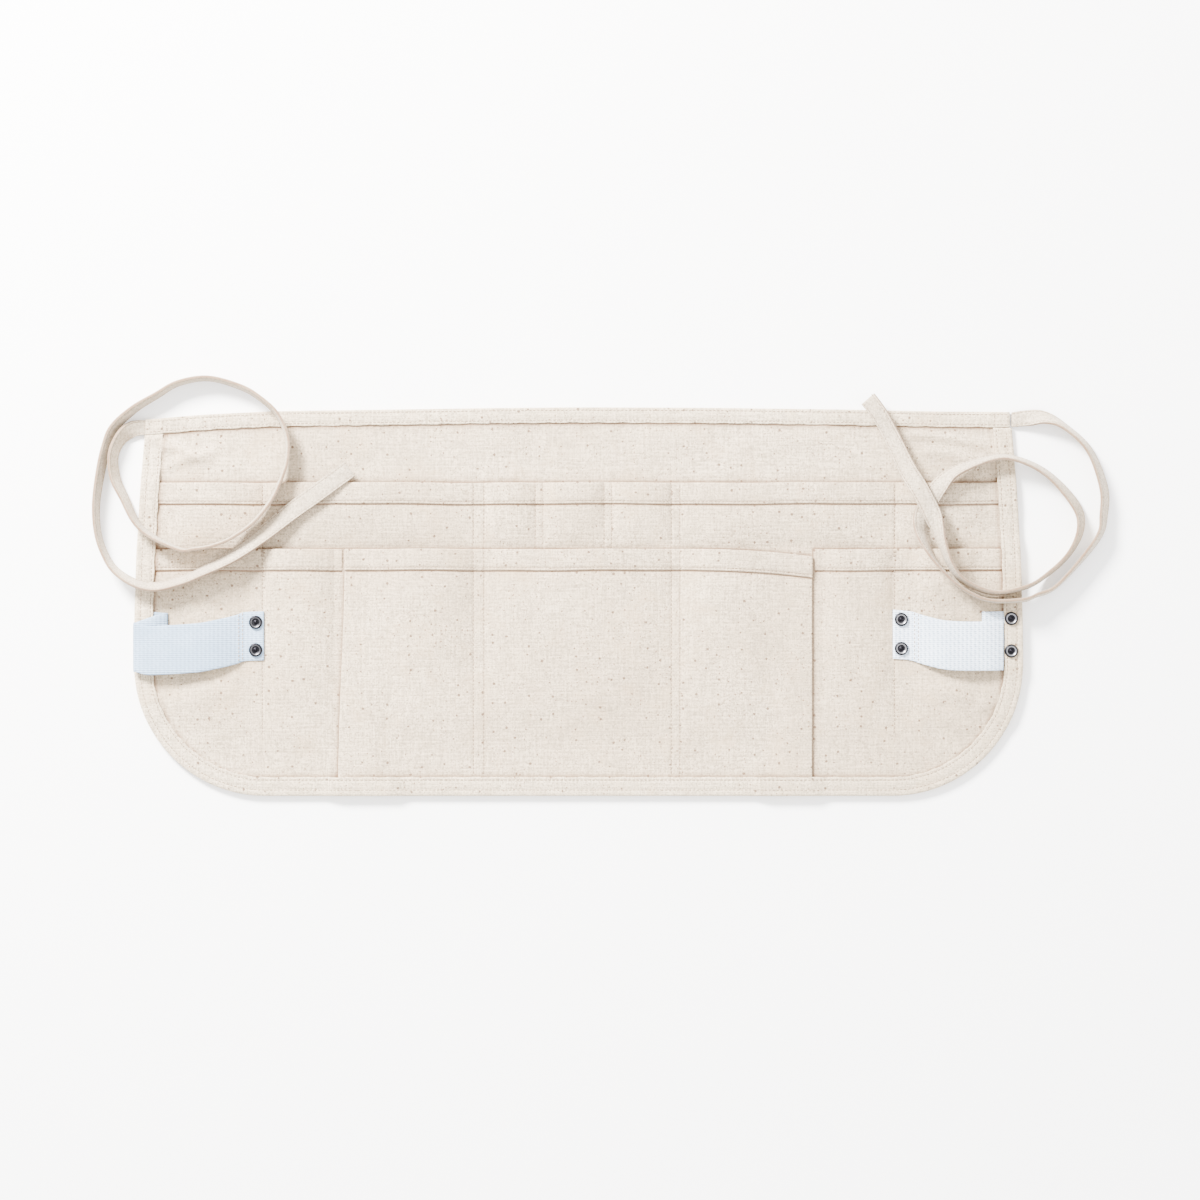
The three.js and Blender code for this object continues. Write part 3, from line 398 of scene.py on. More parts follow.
def cloth(name, pale, deep, pitch, crease=3.4, flat=True, weave=0.3):
    """Woven cotton: threads both ways, slubs, a soft drift of colour, creases and specks of husk, with
    painted shade in the hollows between threads and along the lines the shade attribute marks.
    """
    g = Graph(name)

    def deeper(share):
        return tuple(c * share for c in deep)

    warp = g.ribs(pitch, "X", 0.7)
    weft = g.ribs(pitch * 1.12, "Y", 0.7)
    threads = g.plus(g.times(warp, 0.5), g.times(weft, 0.5))
    slub_x = g.noise(1, 3, 0.6, g.scaled(60, 900, 600))
    slub_y = g.noise(1, 3, 0.6, g.scaled(900, 60, 600))
    slubs = g.plus(slub_x, slub_y)
    fine = g.noise(85, 3, 0.55)
    drift = g.noise(9, 3, 0.6, distort=0.8)
    colour = g.blend(g.ramp(drift, 0.35, 0.68), pale, deep)
    mottle = g.times(g.ramp(slubs, 0.8, 1.2), 0.75)
    colour = g.blend(mottle, colour, deeper(0.62))
    grain = g.times(g.ramp(g.noise(620, 3, 0.7), 0.48, 0.62), 0.9)
    colour = g.blend(grain, colour, deeper(0.5))
    blotches = g.times(g.ramp(g.noise(34, 4, 0.65, distort=0.6), 0.48, 0.74), 0.45)
    colour = g.blend(blotches, colour, (deep[0] * 0.82, deep[1] * 0.76, deep[2] * 0.66))
    # Painted shade in the hollows between threads
    hollow_shade = g.times(g.ramp(threads, 0.35, 0.05), 0.4)
    colour = g.blend(hollow_shade, colour, deeper(0.72))
    small = g.specks(4.2, 0.72, 0.7, flat)
    clumps = g.times(small, g.ramp(g.noise(46, 2), 0.4, 0.62))
    colour = g.blend(g.times(clumps, 0.85), colour, tuple(c * 1.6 for c in HUSK))
    big = g.specks(9.5, 1.15, 0.6, flat)
    colour = g.blend(g.times(big, 0.85), colour, HUSK)
    # Painted shade: the shade attribute darkens the cloth to brown along mouths, hems, seams, folds and the
    # binding's edges
    painted_shade = g.times(g.shade(), g.plus(0.7, g.times(fine, 0.6)), clamp=True)
    colour = g.blend(painted_shade, colour, SHADE_BROWN)
    creases = g.plus(g.noise(17, 2.5, 0.5, distort=0.5), g.times(fine, 0.16))
    relief = g.plus(threads, g.times(slubs, 0.9))
    return g.finish({
        "Base Color": colour,
        "Roughness": g.plus(0.84, g.times(fine, 0.14)),
        "Normal": g.bump(relief, weave, under=g.bump(creases, crease)),
        "Sheen Weight": 0.12,
        "Sheen Roughness": 0.6,
        "Specular IOR Level": 0.25,
    })


def webbing_material(name, pale, deep):
    """Cotton webbing in cool white: ribs along it, crossed by wider ones, with painted shade in the weave's
    hollows.
    """
    g = Graph(name)
    along = g.ribs(1.5, "Y", 0.5)
    cross = g.ribs(3.3, "X", 0.35)
    slant = g.ribs(2.6, "DIAGONAL", 0.4)
    height = g.plus(g.times(along, 0.55), g.times(cross, 0.45))
    height = g.plus(height, g.times(slant, 0.25))
    height = g.plus(height, g.times(g.noise(700, 2), 0.4))
    drift = g.noise(30, 3, 0.6)
    colour = g.blend(g.ramp(drift, 0.35, 0.7), pale, deep)
    # Painted shade: darker where the weave lies low
    colour = g.blend(g.times(g.ramp(height, 0.85, 0.35), 0.9), colour, (0.2, 0.26, 0.35))
    return g.finish({
        "Base Color": colour,
        "Roughness": g.plus(0.75, g.times(drift, 0.2)),
        "Normal": g.bump(height, 0.4),
        "Sheen Weight": 0.1,
        "Specular IOR Level": 0.3,
    })


def nickel_material(name):
    """Blackened nickel, worn a little brighter in places, with a painted reflection where the shade
    attribute says.
    """
    g = Graph(name)
    wear = g.ramp(g.noise(300, 4, 0.65), 0.55, 0.75)
    scratches = g.noise(1, 3, 0.6, g.scaled(3500, 300, 900, 0.6))
    colour = g.blend(wear, (0.012, 0.0115, 0.014), (0.04, 0.04, 0.045))
    # Painted reflection: a bright ring where the shade attribute says
    colour = g.blend(g.times(g.shade(), 0.9), colour, (0.3, 0.3, 0.32))
    return g.finish({
        "Base Color": colour,
        "Roughness": g.plus(0.2, g.times(scratches, 0.3)),
        "Normal": g.bump(g.plus(scratches, wear), 0.03),
        "Metallic": 1.0,
    })


def thread_material(name):
    """Sewing thread: tan cotton with a twist in it."""
    g = Graph(name)
    twist = g.ribs(0.45, "DIAGONAL", 0.4)
    colour = g.blend(g.ramp(g.noise(60, 3), 0.35, 0.7), (0.27, 0.195, 0.13), (0.19, 0.132, 0.085))
    colour = g.blend(g.times(twist, 0.3), colour, (0.22, 0.16, 0.105))
    return g.finish({
        "Base Color": colour,
        "Roughness": g.plus(0.6, g.times(twist, 0.15)),
        "Normal": g.bump(twist, 0.06),
    })


canvas = cloth("canvas", (0.65, 0.52, 0.37), (0.55, 0.43, 0.297), 0.95)
canvas_back = cloth("canvas_back", (0.665, 0.535, 0.385), (0.565, 0.445, 0.31), 0.95)
trim = cloth("canvas_trim", (0.69, 0.565, 0.41), (0.59, 0.475, 0.335), 0.95, crease=1.2)
tape = cloth("tape", (0.56, 0.46, 0.345), (0.475, 0.385, 0.28), 0.8, crease=0.7, flat=False, weave=0.16)
webbing = webbing_material("webbing", (0.6, 0.675, 0.775), (0.5, 0.575, 0.67))
# Painted shade: a darker copy of the webbing for the left loop, which lies in shade
webbing_shaded = webbing_material("webbing_shaded", (0.3, 0.4, 0.53), (0.23, 0.32, 0.44))
nickel = nickel_material("nickel")
thread = thread_material("thread")


# Mesh helpers
def piece(name, points, faces, material, shade=None):
    """shade, from 0 to 1 at each point, is how much painted shade darkens cloth there, or how bright a
    painted reflection on metal is.
    """
    mesh = bpy.data.meshes.new(name)
    mesh.from_pydata((np.asarray(points, float) * MM).tolist(), [], faces)
    if shade is not None:
        kept = mesh.attributes.new("shade", "FLOAT", "POINT")
        kept.data.foreach_set("value", np.clip(shade, 0, 1).ravel())
    work = bmesh.new()
    work.from_mesh(mesh)
    bmesh.ops.recalc_face_normals(work, faces=work.faces)
    work.to_mesh(mesh)
    work.free()
    mesh.polygons.foreach_set("use_smooth", [True] * len(mesh.polygons))
    mesh.materials.append(material)
    made = add(name, mesh)
    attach(made, "root")
    return made


def slab(name, low, high, material, shade=None):
    """A closed cloth between two surfaces that share a grid of rows and columns."""
    rows, columns = low.shape[:2]
    count = rows * columns
    ids = np.arange(count).reshape(rows, columns)
    a, b, c, d = ids[:-1, :-1], ids[:-1, 1:], ids[1:, 1:], ids[1:, :-1]
    top = np.stack([a, b, c, d], -1).reshape(-1, 4) + count
    under = np.stack([a, d, c, b], -1).reshape(-1, 4)
    rim = np.concatenate([ids[0, :], ids[1:, -1], ids[-1, -2::-1], ids[-2:0:-1, 0]])
    following = np.roll(rim, -1)
    wall = np.stack([rim, following, following + count, rim + count], -1)
    points = np.concatenate([low.reshape(-1, 3), high.reshape(-1, 3)])
    if shade is not None:
        shade = np.concatenate([np.zeros(count), shade.ravel()])
    return piece(name, points, np.concatenate([top, under, wall]).tolist(), material, shade)


def sweep(name, stations, material, shade=None):
    """A closed solid through stations, an array of station, point round the section, and place."""
    stations = np.asarray(stations, float)
    count, n = stations.shape[:2]
    faces = []
    for s in range(count - 1):
        for k in range(n):
            m = (k + 1) % n
            faces.append((s * n + k, s * n + m, s * n + n + m, s * n + n + k))
    faces.append(tuple(range(n)))
    faces.append(tuple((count - 1) * n + k for k in range(n)))
    return piece(name, stations.reshape(-1, 3), faces, material, shade)


STITCH_PITCH = 3.2
STITCH_LENGTH = 2.4
STITCH_WIDTH = 0.78
STITCH_HEIGHT = 0.56


def resampled(path):
    """Places a stitch apart along a path, and the way it runs there."""
    path = np.asarray(path, float)
    steps = np.linalg.norm(np.diff(path, axis=0), axis=1)
    run = np.concatenate([[0], np.cumsum(steps)])
    at = np.arange(STITCH_PITCH / 2, run[-1], STITCH_PITCH)
    spots = np.stack([np.interp(at, run, path[:, k]) for k in range(path.shape[1])], -1)
    ahead = np.stack([np.interp(at + 0.4, run, path[:, k]) for k in range(3)], -1)
    behind = np.stack([np.interp(at - 0.4, run, path[:, k]) for k in range(3)], -1)
    return spots, unit(ahead - behind)


def stitches(name, rows):
    """Rows of stitches, each row a path of x, y, z and, if given, the direction its cloth faces."""
    ring = [(math.cos(math.pi * k / 3), math.sin(math.pi * k / 3)) for k in range(6)]
    shape = [(-1, 0, -0.5)]
    for u in (-0.62, 0.62):
        shape += [(u, c * 0.95, s) for c, s in ring]
    shape += [(1, 0, -0.5)]
    shape = np.array(shape) / 2
    shape_faces = [(0, 1 + (k + 1) % 6, 1 + k) for k in range(6)]
    shape_faces += [(1 + k, 1 + (k + 1) % 6, 7 + (k + 1) % 6, 7 + k) for k in range(6)]
    shape_faces += [(13, 7 + k, 7 + (k + 1) % 6) for k in range(6)]
    clouds = []
    for row in rows:
        row = np.asarray(row, float)
        if row.shape[1] == 3:
            row = np.hstack([row, np.tile([0.0, 0.0, 1.0], (len(row), 1))])
        spots, along = resampled(row)
        up = unit(spots[:, 3:])
        across = unit(np.cross(up, along))
        corners = []
        for u, v, w in shape:
            part = along * u * STITCH_LENGTH + across * v * STITCH_WIDTH + up * (w * STITCH_HEIGHT + 0.06)
            corners.append(spots[:, :3] + part)
        clouds.append(np.stack(corners, axis=1).reshape(-1, 3))
    cloud = np.concatenate(clouds)
    faces = []
    for s in range(len(cloud) // len(shape)):
        faces += [tuple(s * len(shape) + k for k in f) for f in shape_faces]
    made = piece(name, cloud, faces, thread)
    return made


def line(place, start, end, height, step=2.0):
    """A row on a surface: along Y at one x, or along X where place gives y."""
    run = np.linspace(start, end, max(3, int(abs(end - start) / step)))
    if callable(place):
        y = place(run)
        return surface(run, y, height(run, y))
    x = np.full_like(run, place)
    return surface(x, run, height(x, run))


# Ties: flat cords that lie free. Each route point is x, y, z and the roll in degrees.
TIE_WIDTH = 14.5
TIE_THICKNESS = 2.4
# Shares of the width at a tie's first points, where the waistband ends
START_SHARES = [0.8, 0.9]
LEFT_TIE = [
    (-346.85, 139.4, 1.9, 0), (-357, 138, 3.9, -20), (-366, 130.6, 6.8, -55), (-372, 117, 7.4, -66),
    (-370.6, 99, 7.4, -66), (-362.8, 82, 8.4, -72), (-353.6, 64, 12.6, -78), (-341.2, 52.4, 13.6, -82),
    (-318, 41.6, 16.4, -86), (-306, 42, 18.8, -86), (-292, 44.4, 19.9, -85), (-277.2, 50.4, 17.2, -84),
    (-260, 62.8, 14.2, -82), (-246.8, 78.8, 13.6, -80), (-238.4, 95, 14.4, -80), (-232.8, 113.2, 12.4, -80),
    (-232.9, 132, 11.5, -80), (-240.6, 149.4, 11.5, -80), (-254, 162, 10.2, -80), (-270, 171.4, 7.9, -80),
    (-296, 178.4, 7.7, -82), (-320, 174.6, 7.7, -82), (-337, 165, 7.7, -80), (-355.4, 153.8, 7.6, -75),
    (-371.2, 139, 7.5, -70), (-377.6, 123.6, 7.5, -70), (-382.4, 103, 7.5, -73), (-385.8, 77, 7.7, -78),
    (-384.4, 55, 7.7, -80), (-379, 38.4, 7.9, -80), (-370, 25, 10.2, -76), (-354, 14.8, 14.3, -70),
    (-337.6, 11.6, 14, -66), (-318, 16.2, 14.8, -64), (-300, 23.4, 19.2, -62), (-276.4, 35.6, 17.8, -48),
    (-254, 52, 11.8, -32), (-230.8, 70.8, 9.9, -15), (-207, 88, 11.8, -6), (-182.8, 106, 10.4, 0),
]  # fmt: skip
RIGHT_TIE = [
    (346.85, 145.6, 1.9, 0), (359, 146.8, 3.2, -15), (373, 147, 6.6, -48), (388, 140.4, 7.5, -70),
    (408, 121.6, 7.5, -68), (419.8, 92, 7.3, -60), (420, 70, 7.4, -62), (414.6, 49.6, 7.6, -72),
    (384, 13.8, 7.9, -82), (366, 5, 10.8, -82), (353, 1, 14.8, -84), (328, 0.8, 14.2, -87),
    (310, 8, 15.6, -90), (298, 16.8, 18.4, -94), (284, 32.4, 19.6, -101), (276, 47, 16.8, -118),
    (272.8, 58, 13, -134), (274.8, 69.2, 10.9, -165), (280.4, 80.4, 11.2, -182), (288, 92, 15.2, -208),
    (300, 103.4, 14.7, -238), (326, 113.4, 11.2, -254), (346, 114.8, 11.4, -256), (374, 102.6, 7.9, -250),
    (397.6, 77, 7.3, -240), (401.4, 58, 7.4, -246), (392, 37.8, 7.7, -256), (374, 21, 8, -260),
    (356.8, 11.4, 14.1, -262), (331, 6.9, 14.3, -262), (307, 16.6, 17.4, -260), (296, 30, 20.1, -258),
    (290, 46, 19.2, -250), (286, 59.6, 16.8, -228), (281, 72, 16.6, -188), (272.1, 89.2, 16.8, -184),
    (262, 107, 12.4, -202), (251, 131, 8.6, -214), (240.4, 150, 9.4, -214), (231.4, 162, 8.2, -210),
]  # fmt: skip


def spline(points, steps):
    """A uniform Catmull-Rom curve through the points, with so many steps between two of them."""
    p = np.asarray(points, float)
    padded = np.vstack([p[:1], p, p[-1:]])
    out = []
    for i in range(len(p) - 1):
        a, b, c, d = padded[i : i + 4]
        for t in np.arange(steps) / steps:
            out.append(b + 0.5 * t * (c - a + t * (2 * a - 5 * b + 4 * c - d + t * (3 * (b - c) + d - a))))
    out.append(p[-1])
    return np.array(out)


def turned(vectors, axes, angles):
    """Each vector turned about its axis, by Rodrigues' formula."""
    c, s = np.cos(angles)[:, None], np.sin(angles)[:, None]
    dots = np.sum(vectors * axes, axis=1)[:, None]
    return vectors * c + np.cross(axes, vectors) * s + axes * dots * (1 - c)


# Half of the tie's section: how far out and how thick, both as shares. Its stitches run at TIE_ROW.
TIE_ROW = 0.76
TIE_SECTION = [(1, 0.35), (0.985, 0.7), (0.93, 0.95), (0.84, 0.96), (TIE_ROW, 0.78), (0.68, 0.98)]
TIE_SECTION += [(0.2, 1.0)]


def make_tie(name, route):
    shares = START_SHARES + [1] * (len(route) - len(START_SHARES))
    path = spline([(*point, share) for point, share in zip(route, shares)], 6)
    spots = path[:, :3]
    along = np.gradient(spots, axis=0)
    along[0] = (math.copysign(1, route[0][0]), 0, 0)
    along = unit(along)
    right = turned(unit(np.cross(along, (0, 0, 1))), along, np.radians(path[:, 3]))
    face = np.cross(right, along)
    half = path[:, 4] * TIE_WIDTH / 2
    thick = TIE_THICKNESS / 2
    top = TIE_SECTION + [(-u, v) for u, v in reversed(TIE_SECTION)]
    section = top + [(u, -v) for u, v in reversed(top)]
    rings = [spots + right * (half * u)[:, None] + face * (thick * v) for u, v in section]
    # Painted shade: darker lines along the tie's edges and its stitch rows
    at_edge = [0.85 * max(0.0, abs(u) - 0.93) / 0.07 for u, _ in section]
    at_row = [0.34 * (abs(abs(u) - TIE_ROW) < 0.01) for u, _ in section]
    shade = np.tile(np.add(at_edge, at_row), (len(spots), 1))
    made = sweep("look_" + name, np.stack(rings, axis=1), tape, shade)
    rows = []
    for u in (TIE_ROW, -TIE_ROW):
        for side in (1, -1):
            row = spots + right * (half * u)[:, None] + face * (thick * 0.8 * side)
            rows.append(np.hstack([row, face * side]))
    sewn = stitches("look_" + name + "_stitches", rows)
    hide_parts(name)


make_tie("tie_left", LEFT_TIE)
make_tie("tie_right", RIGHT_TIE)


# Panels
def grid(start, end, step, extra=()):
    """Places a step apart, with extra ones where the cloth needs finer detail."""
    base = np.arange(start, end + step / 2, step)
    values = np.concatenate([base, np.asarray(list(extra), float)])
    values = np.sort(values[(values >= start - 1e-9) & (values <= end + 1e-9)])
    kept = [values[0]]
    for v in values[1:]:
        if v - kept[-1] > 0.2:
            kept.append(v)
    kept[-1] = values[-1]
    return np.array(kept)


NEAR_ROW = (-2.2, -1.1, -0.5, 0, 0.5, 1.1, 2.2)
seam_rows = [x + s * (h if h > 2 else 0) * 0.95 for x, h, _ in SEAMS for s in (-1, 1)]
nail_rows = [x + s * h * 0.95 for x, h in NAIL_SEAMS for s in (-1, 1)]
# Depths below a mouth: the hem's stitches, its cut edge, the dent under that edge and the line of painted
# shade there
HEM_ROW = HEM_DEPTH - 1.7
HEM_EDGE = 16.6
HEM_DENT = 17.9
HEM_LINE = 17.75
HEM_STEPS = [18.9, 18.3, 17.9, 17.5, 17.2, 16.9, 16.6, 16.1, 15.6, 15.1, 14.6, 14.0, 12.5]
HEM_STEPS = np.array(HEM_STEPS + [10, 7.5, 5, 3, 1.8, 1.0, 0.5, 0.2, 0])
HEMMED = CLOTH + HEM_EXTRA
# Beyond this the side pockets are hemmed: nearer the middle they lie flat under the nail pocket's folds.
SIDE_HEM_START = 188.6


def rounded(depth, most):
    """How much is taken off a mouth's edge to round it."""
    return most * np.clip(1 - depth / 0.9, 0, 1) ** 2


def hem_thickness(depth):
    """The mouth's hem: a turned-over layer down to its sewn edge, with a groove along the stitches."""
    extra = HEM_EXTRA * (1 - smooth((depth - HEM_EDGE) / 0.6))
    groove = 0.5 * bell(depth - HEM_ROW, 0.75) + 0.6 * bell(depth - HEM_DENT, 0.8)
    full = 0.3 * bell(depth - 6, 7) * (depth < HEM_EDGE)
    return CLOTH + extra + full - groove - rounded(depth, HEMMED * 0.4)


def seam_groove(x, y, rows):
    """How far the cloth dips along rows of stitches, with the puckers beside them."""
    dip = np.zeros_like(x)
    for k, row in enumerate(rows):
        beat = 0.75 + 0.25 * np.sin(y * 2 * np.pi / STITCH_PITCH)
        dip += 0.38 * beat * bell(x - row, 0.8)
        pucker = np.sin(y * 0.62 + 1.7 * k) * np.sin(y * 0.23 + k)
        dip += 0.22 * pucker * bell(np.abs(x - row) - 3, 2.6)
    return dip


FITTED_FROM = 236.0


def fitted(x, y):
    """Columns near the sides drawn in to the apron's outline."""
    outer = HALF_WIDTH - INSET
    beyond = np.abs(x) - FITTED_FROM
    drawn = FITTED_FROM + beyond * (reach(y, INSET) - FITTED_FROM) / (outer - FITTED_FROM)
    return np.where(beyond > 0, np.sign(x) * drawn, x)


def beside(distance, width, strength):
    """Painted shade that starts at an edge and fades away from it."""
    return strength * np.where(distance > -0.8, np.exp(-np.maximum(distance, 0) / width), 0)


def hem_shade(depth):
    under_edge = bell(depth - HEM_LINE, 0.85)
    return under_edge + 0.36 * bell(depth - HEM_ROW, 0.6) + 0.32 * bell(depth, 0.5)


def bottom_shade(y):
    """Along the binding's inner edge at the bottom."""
    return beside(y + HALF_HEIGHT - BINDING - 0.6, 1.4, 0.7)


def rim_shade(x, y):
    """Along the binding's inner edge, at the sides too."""
    inside = reach(y, BINDING + 0.6) - np.abs(x)
    return np.maximum(beside(inside, 1.4, 0.85), bottom_shade(y))


def panel(name, columns, heights, mouth, low, grooves, over, hem_start=None):
    """A hemmed pocket front: its rows lie at the heights, then at depths below the mouth's line.

    over is the shade beside what lies on it, and hem_start the |x| within which it has no hem.
    """
    x0 = columns[None, :]
    y = np.concatenate([np.repeat(heights[:, None], len(columns), 1), mouth(x0) - HEM_STEPS[:, None]])
    x = fitted(np.repeat(x0, len(y), 0), y)
    z = low(x, y)
    depth = mouth(x) - y
    hemmed = 1 if hem_start is None else smooth((np.abs(x) - hem_start) / 0.8)
    thick = CLOTH + (hem_thickness(depth) - CLOTH) * hemmed
    bottom = surface(x, y, z + rounded(depth, HEMMED * 0.35))
    top = surface(x, y, z + np.maximum(thick - seam_groove(x, y, grooves), 0.35))
    shade = hem_shade(depth) * hemmed + rim_shade(x, y)
    for row in grooves:
        shade = shade + 0.16 * bell(x - row, 0.6)
    return slab(name, bottom, top, canvas, shade + over(x, y))


def wavy(level, size):
    return lambda x: level + size * np.sin(x / 31.0 + level) + size * 0.6 * np.sin(x / 12.5)


def fold_place(side, y):
    down = (LOWER_MOUTH - y) / LOWER_HEIGHT
    return side * (FOLD_X + FOLD_SLANT * smooth(down) * (side < 0))


STRETCH_FROM = 90


def make_back():
    """The back panel, its upper part stretched to the waistband's line."""
    top = HALF_HEIGHT - INSET
    fine_rows = list(np.arange(UPPER_MOUTH - 1, UPPER_MOUTH + 5, 0.7)) + list(np.arange(136, 146, 0.8))
    columns = grid(-HALF_WIDTH + INSET, HALF_WIDTH - INSET, 3.2)
    x, y = np.meshgrid(columns, grid(-top, top, 3.0, fine_rows))
    stretch = (waist_top(x) - INSET - STRETCH_FROM) / (top - STRETCH_FROM)
    y = np.where(y > STRETCH_FROM, STRETCH_FROM + (y - STRETCH_FROM) * stretch, y)
    x = fitted(x, y)
    y = np.minimum(y, waist_top(x) - INSET)
    z = back_low(x, y)
    shade = beside(y - UPPER_MOUTH, 1.6, 0.95) + beside(waist_top(x) - WAISTBAND - 0.6 - y, 1.5, 0.95)
    low, high = surface(x, y, z), surface(x, y, z + CLOTH)
    return slab("look_back_panel", low, high, canvas_back, shade + rim_shade(x, y))


back = make_back()

upper_mouth = wavy(UPPER_MOUTH - 0.3, 0.3)
upper = panel(
    "look_upper_pocket_panel",
    grid(-HALF_WIDTH + INSET, HALF_WIDTH - INSET, 3.0, [r + n for r in seam_rows for n in NEAR_ROW]),
    grid(UPPER_FLOOR, UPPER_MOUTH - 20.5, 2.4, np.arange(35, 48, 0.8)),
    upper_mouth,
    upper_low,
    seam_rows,
    over=lambda x, y: beside(y - LOWER_MOUTH + nail_sag(x) * (x < FOLD_X), 1.5, 0.95),
)

side_mouth = wavy(LOWER_MOUTH - 0.3, 0.25)


def make_side_pocket(side, word):
    def over(x, y):
        above = beside(y - nail_mouth(x), 1.5, 0.9)
        beyond = beside(np.abs(x) - np.abs(fold_place(side, y)), 1.8, 0.95)
        return np.where(np.abs(x) < FOLD_X, above, beyond)

    fine_columns = [SEAM_X + n for n in NEAR_ROW] + list(np.arange(185, 197, 0.8))
    fine_columns += [SIDE_HEM_START, SIDE_HEM_START + 0.4, SIDE_HEM_START + 0.8]
    columns = grid(FOLD_X - FOLD_TUCK, HALF_WIDTH - INSET, 3.0, fine_columns)
    return panel(
        "look_side_pocket_" + word,
        np.sort(columns * side),
        grid(-HALF_HEIGHT + INSET, LOWER_MOUTH - 20.5, 2.4),
        side_mouth,
        side_low,
        [side * SEAM_X],
        over=over,
        hem_start=SIDE_HEM_START,
    )


sides = {word: make_side_pocket(side, word) for side, word in HANDS}

# The nail pocket: its front, then a fold and a return layer at each side
NAIL_HEIGHTS = grid(-HALF_HEIGHT + INSET, LOWER_MOUTH - 26.5, 2.4)
RETURN_STEPS = (0, 0.4, 0.8)
FOLD_DEGREES = range(-90, 91, 20)


def nail_y(x):
    """The rows' places at each x, and the mouth's line."""
    waver = 0.25 * np.sin(x / 27.0) + 0.15 * np.sin(x / 11.0)
    mouth = nail_mouth(x) + waver - 0.3
    low_part = np.repeat(NAIL_HEIGHTS[:, None], len(x), 1)
    return np.concatenate([low_part, mouth[None, :] - HEM_STEPS[:, None]]), mouth


def nail_fold(side):
    """The return layer's end and the turn at one side: its inner and outer lines down the pocket."""
    y, mouth = nail_y(np.array([side * FOLD_X]))
    y = y[:, 0]
    lift = nail_low(np.full_like(y, side * PLEAT_FULL), y)
    inner, outer = [], []
    for t in RETURN_STEPS:
        x = np.full_like(y, side * (FOLD_X - FOLD_TUCK + 0.4 + t * 12))
        z = lift - PITCH
        inner.append(surface(x, y, z + CLOTH))
        outer.append(surface(x, y, z))
    centre_x = fold_place(side, y) - side * (CLOTH + GAP / 2)
    centre_z = lift - GAP / 2
    for degrees in FOLD_DEGREES:
        a = math.radians(degrees)
        hem = (hem_thickness(mouth[0] - y) - CLOTH) * max(0.0, math.sin(a))
        for lines, r in ((inner, GAP / 2), (outer, CLOTH + GAP / 2 + hem)):
            lines.append(surface(centre_x + side * r * math.cos(a), y, centre_z + r * math.sin(a)))
    return np.stack(inner, 1), np.stack(outer, 1)


def make_nail_pocket():
    fine_columns = [r + n for r in nail_rows for n in NEAR_ROW]
    fine_columns += [s * (FOLD_X - d) for s in (-1, 1) for d in (3.5, 3.0, 2.7)]
    columns = grid(-FOLD_X + 2.4, FOLD_X - 2.4, 3.0, fine_columns)
    y, mouth = nail_y(columns)
    x = np.repeat(columns[None, :], len(y), 0)
    z = nail_low(x, y)
    depth = mouth[None, :] - y
    thick = np.maximum(hem_thickness(depth) - seam_groove(x, y, nail_rows), 0.35)
    front_inner = surface(x, y, z + rounded(depth, 0.66))
    front_outer = surface(x, y, z + thick)
    left_inner, left_outer = nail_fold(-1)
    right_inner, right_outer = nail_fold(1)
    inner = np.concatenate([left_inner, front_inner, right_inner[:, ::-1]], axis=1)
    outer = np.concatenate([left_outer, front_outer, right_outer[:, ::-1]], axis=1)
    shade = hem_shade(depth) + bottom_shade(y)
    for row in nail_rows:
        shade = shade + 0.12 * bell(x - row, 0.6)
    facing_up = [0.0] * len(RETURN_STEPS) + [max(0.0, math.sin(math.radians(d))) for d in FOLD_DEGREES]
    left, right = (hem_shade(depth[:, k])[:, None] * np.array(facing_up) for k in (0, -1))
    return slab("look_nail_pocket", inner, outer, canvas, np.hstack([left, shade, right[:, ::-1]]))


nail = make_nail_pocket()


# Tapes folded over an edge
def folded_tape(width, front, rows, lift=0.0, edge=0.0):
    """A section in (inward, up), with a groove along each row of stitches."""
    w = width + edge
    top = [(w - 0.02, front + 0.3), (w - 0.05, front + 0.7), (w - 0.4, front + 0.98 + lift)]
    marks = sorted(rows, reverse=True)
    for row in marks:
        top += [(row + 0.9, front + 1.02 + lift), (row, front + 0.72), (row - 0.9, front + 1.02 + lift)]
        top += [(row - 3.2, front + 1.1 + lift)]
    top = [p for p in top if p[0] > 1.4]
    turn = [(1.3, front + 1.0), (0.6, front + 0.8), (0.18, front + 0.42), (0, front - 0.05)]
    turn += [(0, 0.6), (0.18, 0.26), (0.6, 0.06), (1.4, 0)]
    under = [(width - 0.3, 0), (width, 0.3), (width, 0.75), (width - 0.3, 1.0), (1.0, 1.0)]
    return under + [(1.0, front), (w - 0.3, front)] + top + turn


HEM_BAND = HEM_DEPTH + 0.4
PLEATS = [(PLEAT_START, FOLD_X), (-FOLD_X - FOLD_SLANT, -PLEAT_START)]


def rim_front(x, y, at_side):
    """How high the binding's front layer lies over the layers at a place on the rim."""
    if at_side and CORNER_Y - 0.4 < y < LOOP_Y + WEBBING_WIDTH / 2:
        return RIM_WEBBING_LOW
    if y > UPPER_MOUTH:
        return UPPER_LOW
    if y > LOWER_MOUTH:
        return LOWER_LOW + (HEM_EXTRA if y > UPPER_MOUTH - HEM_BAND else 0)
    pleated = not at_side and any(a < x < b for a, b in PLEATS)
    behind = WEBBING_LOW if y > RAMP_TOP - 10 else LOWER_LOW
    return behind + (HEM_EXTRA if y > LOWER_MOUTH - HEM_BAND else 0) + (2 * PITCH if pleated else 0)


# The binding's path, with its steps, and how many of them a thick layer is felt on each side
PATH_STEP = 1.6
SPREAD = 4
RIM_END_X = 346.0
WAISTBAND_END = 346.8
BINDING_ROWS = (12.7, 4.8)
WAIST_ROWS = (10.3, 2.3)
TAPE_STITCH_UP = 0.78


def under_waistband(x):
    return float(waist_top(x)) - WAISTBAND - GAP


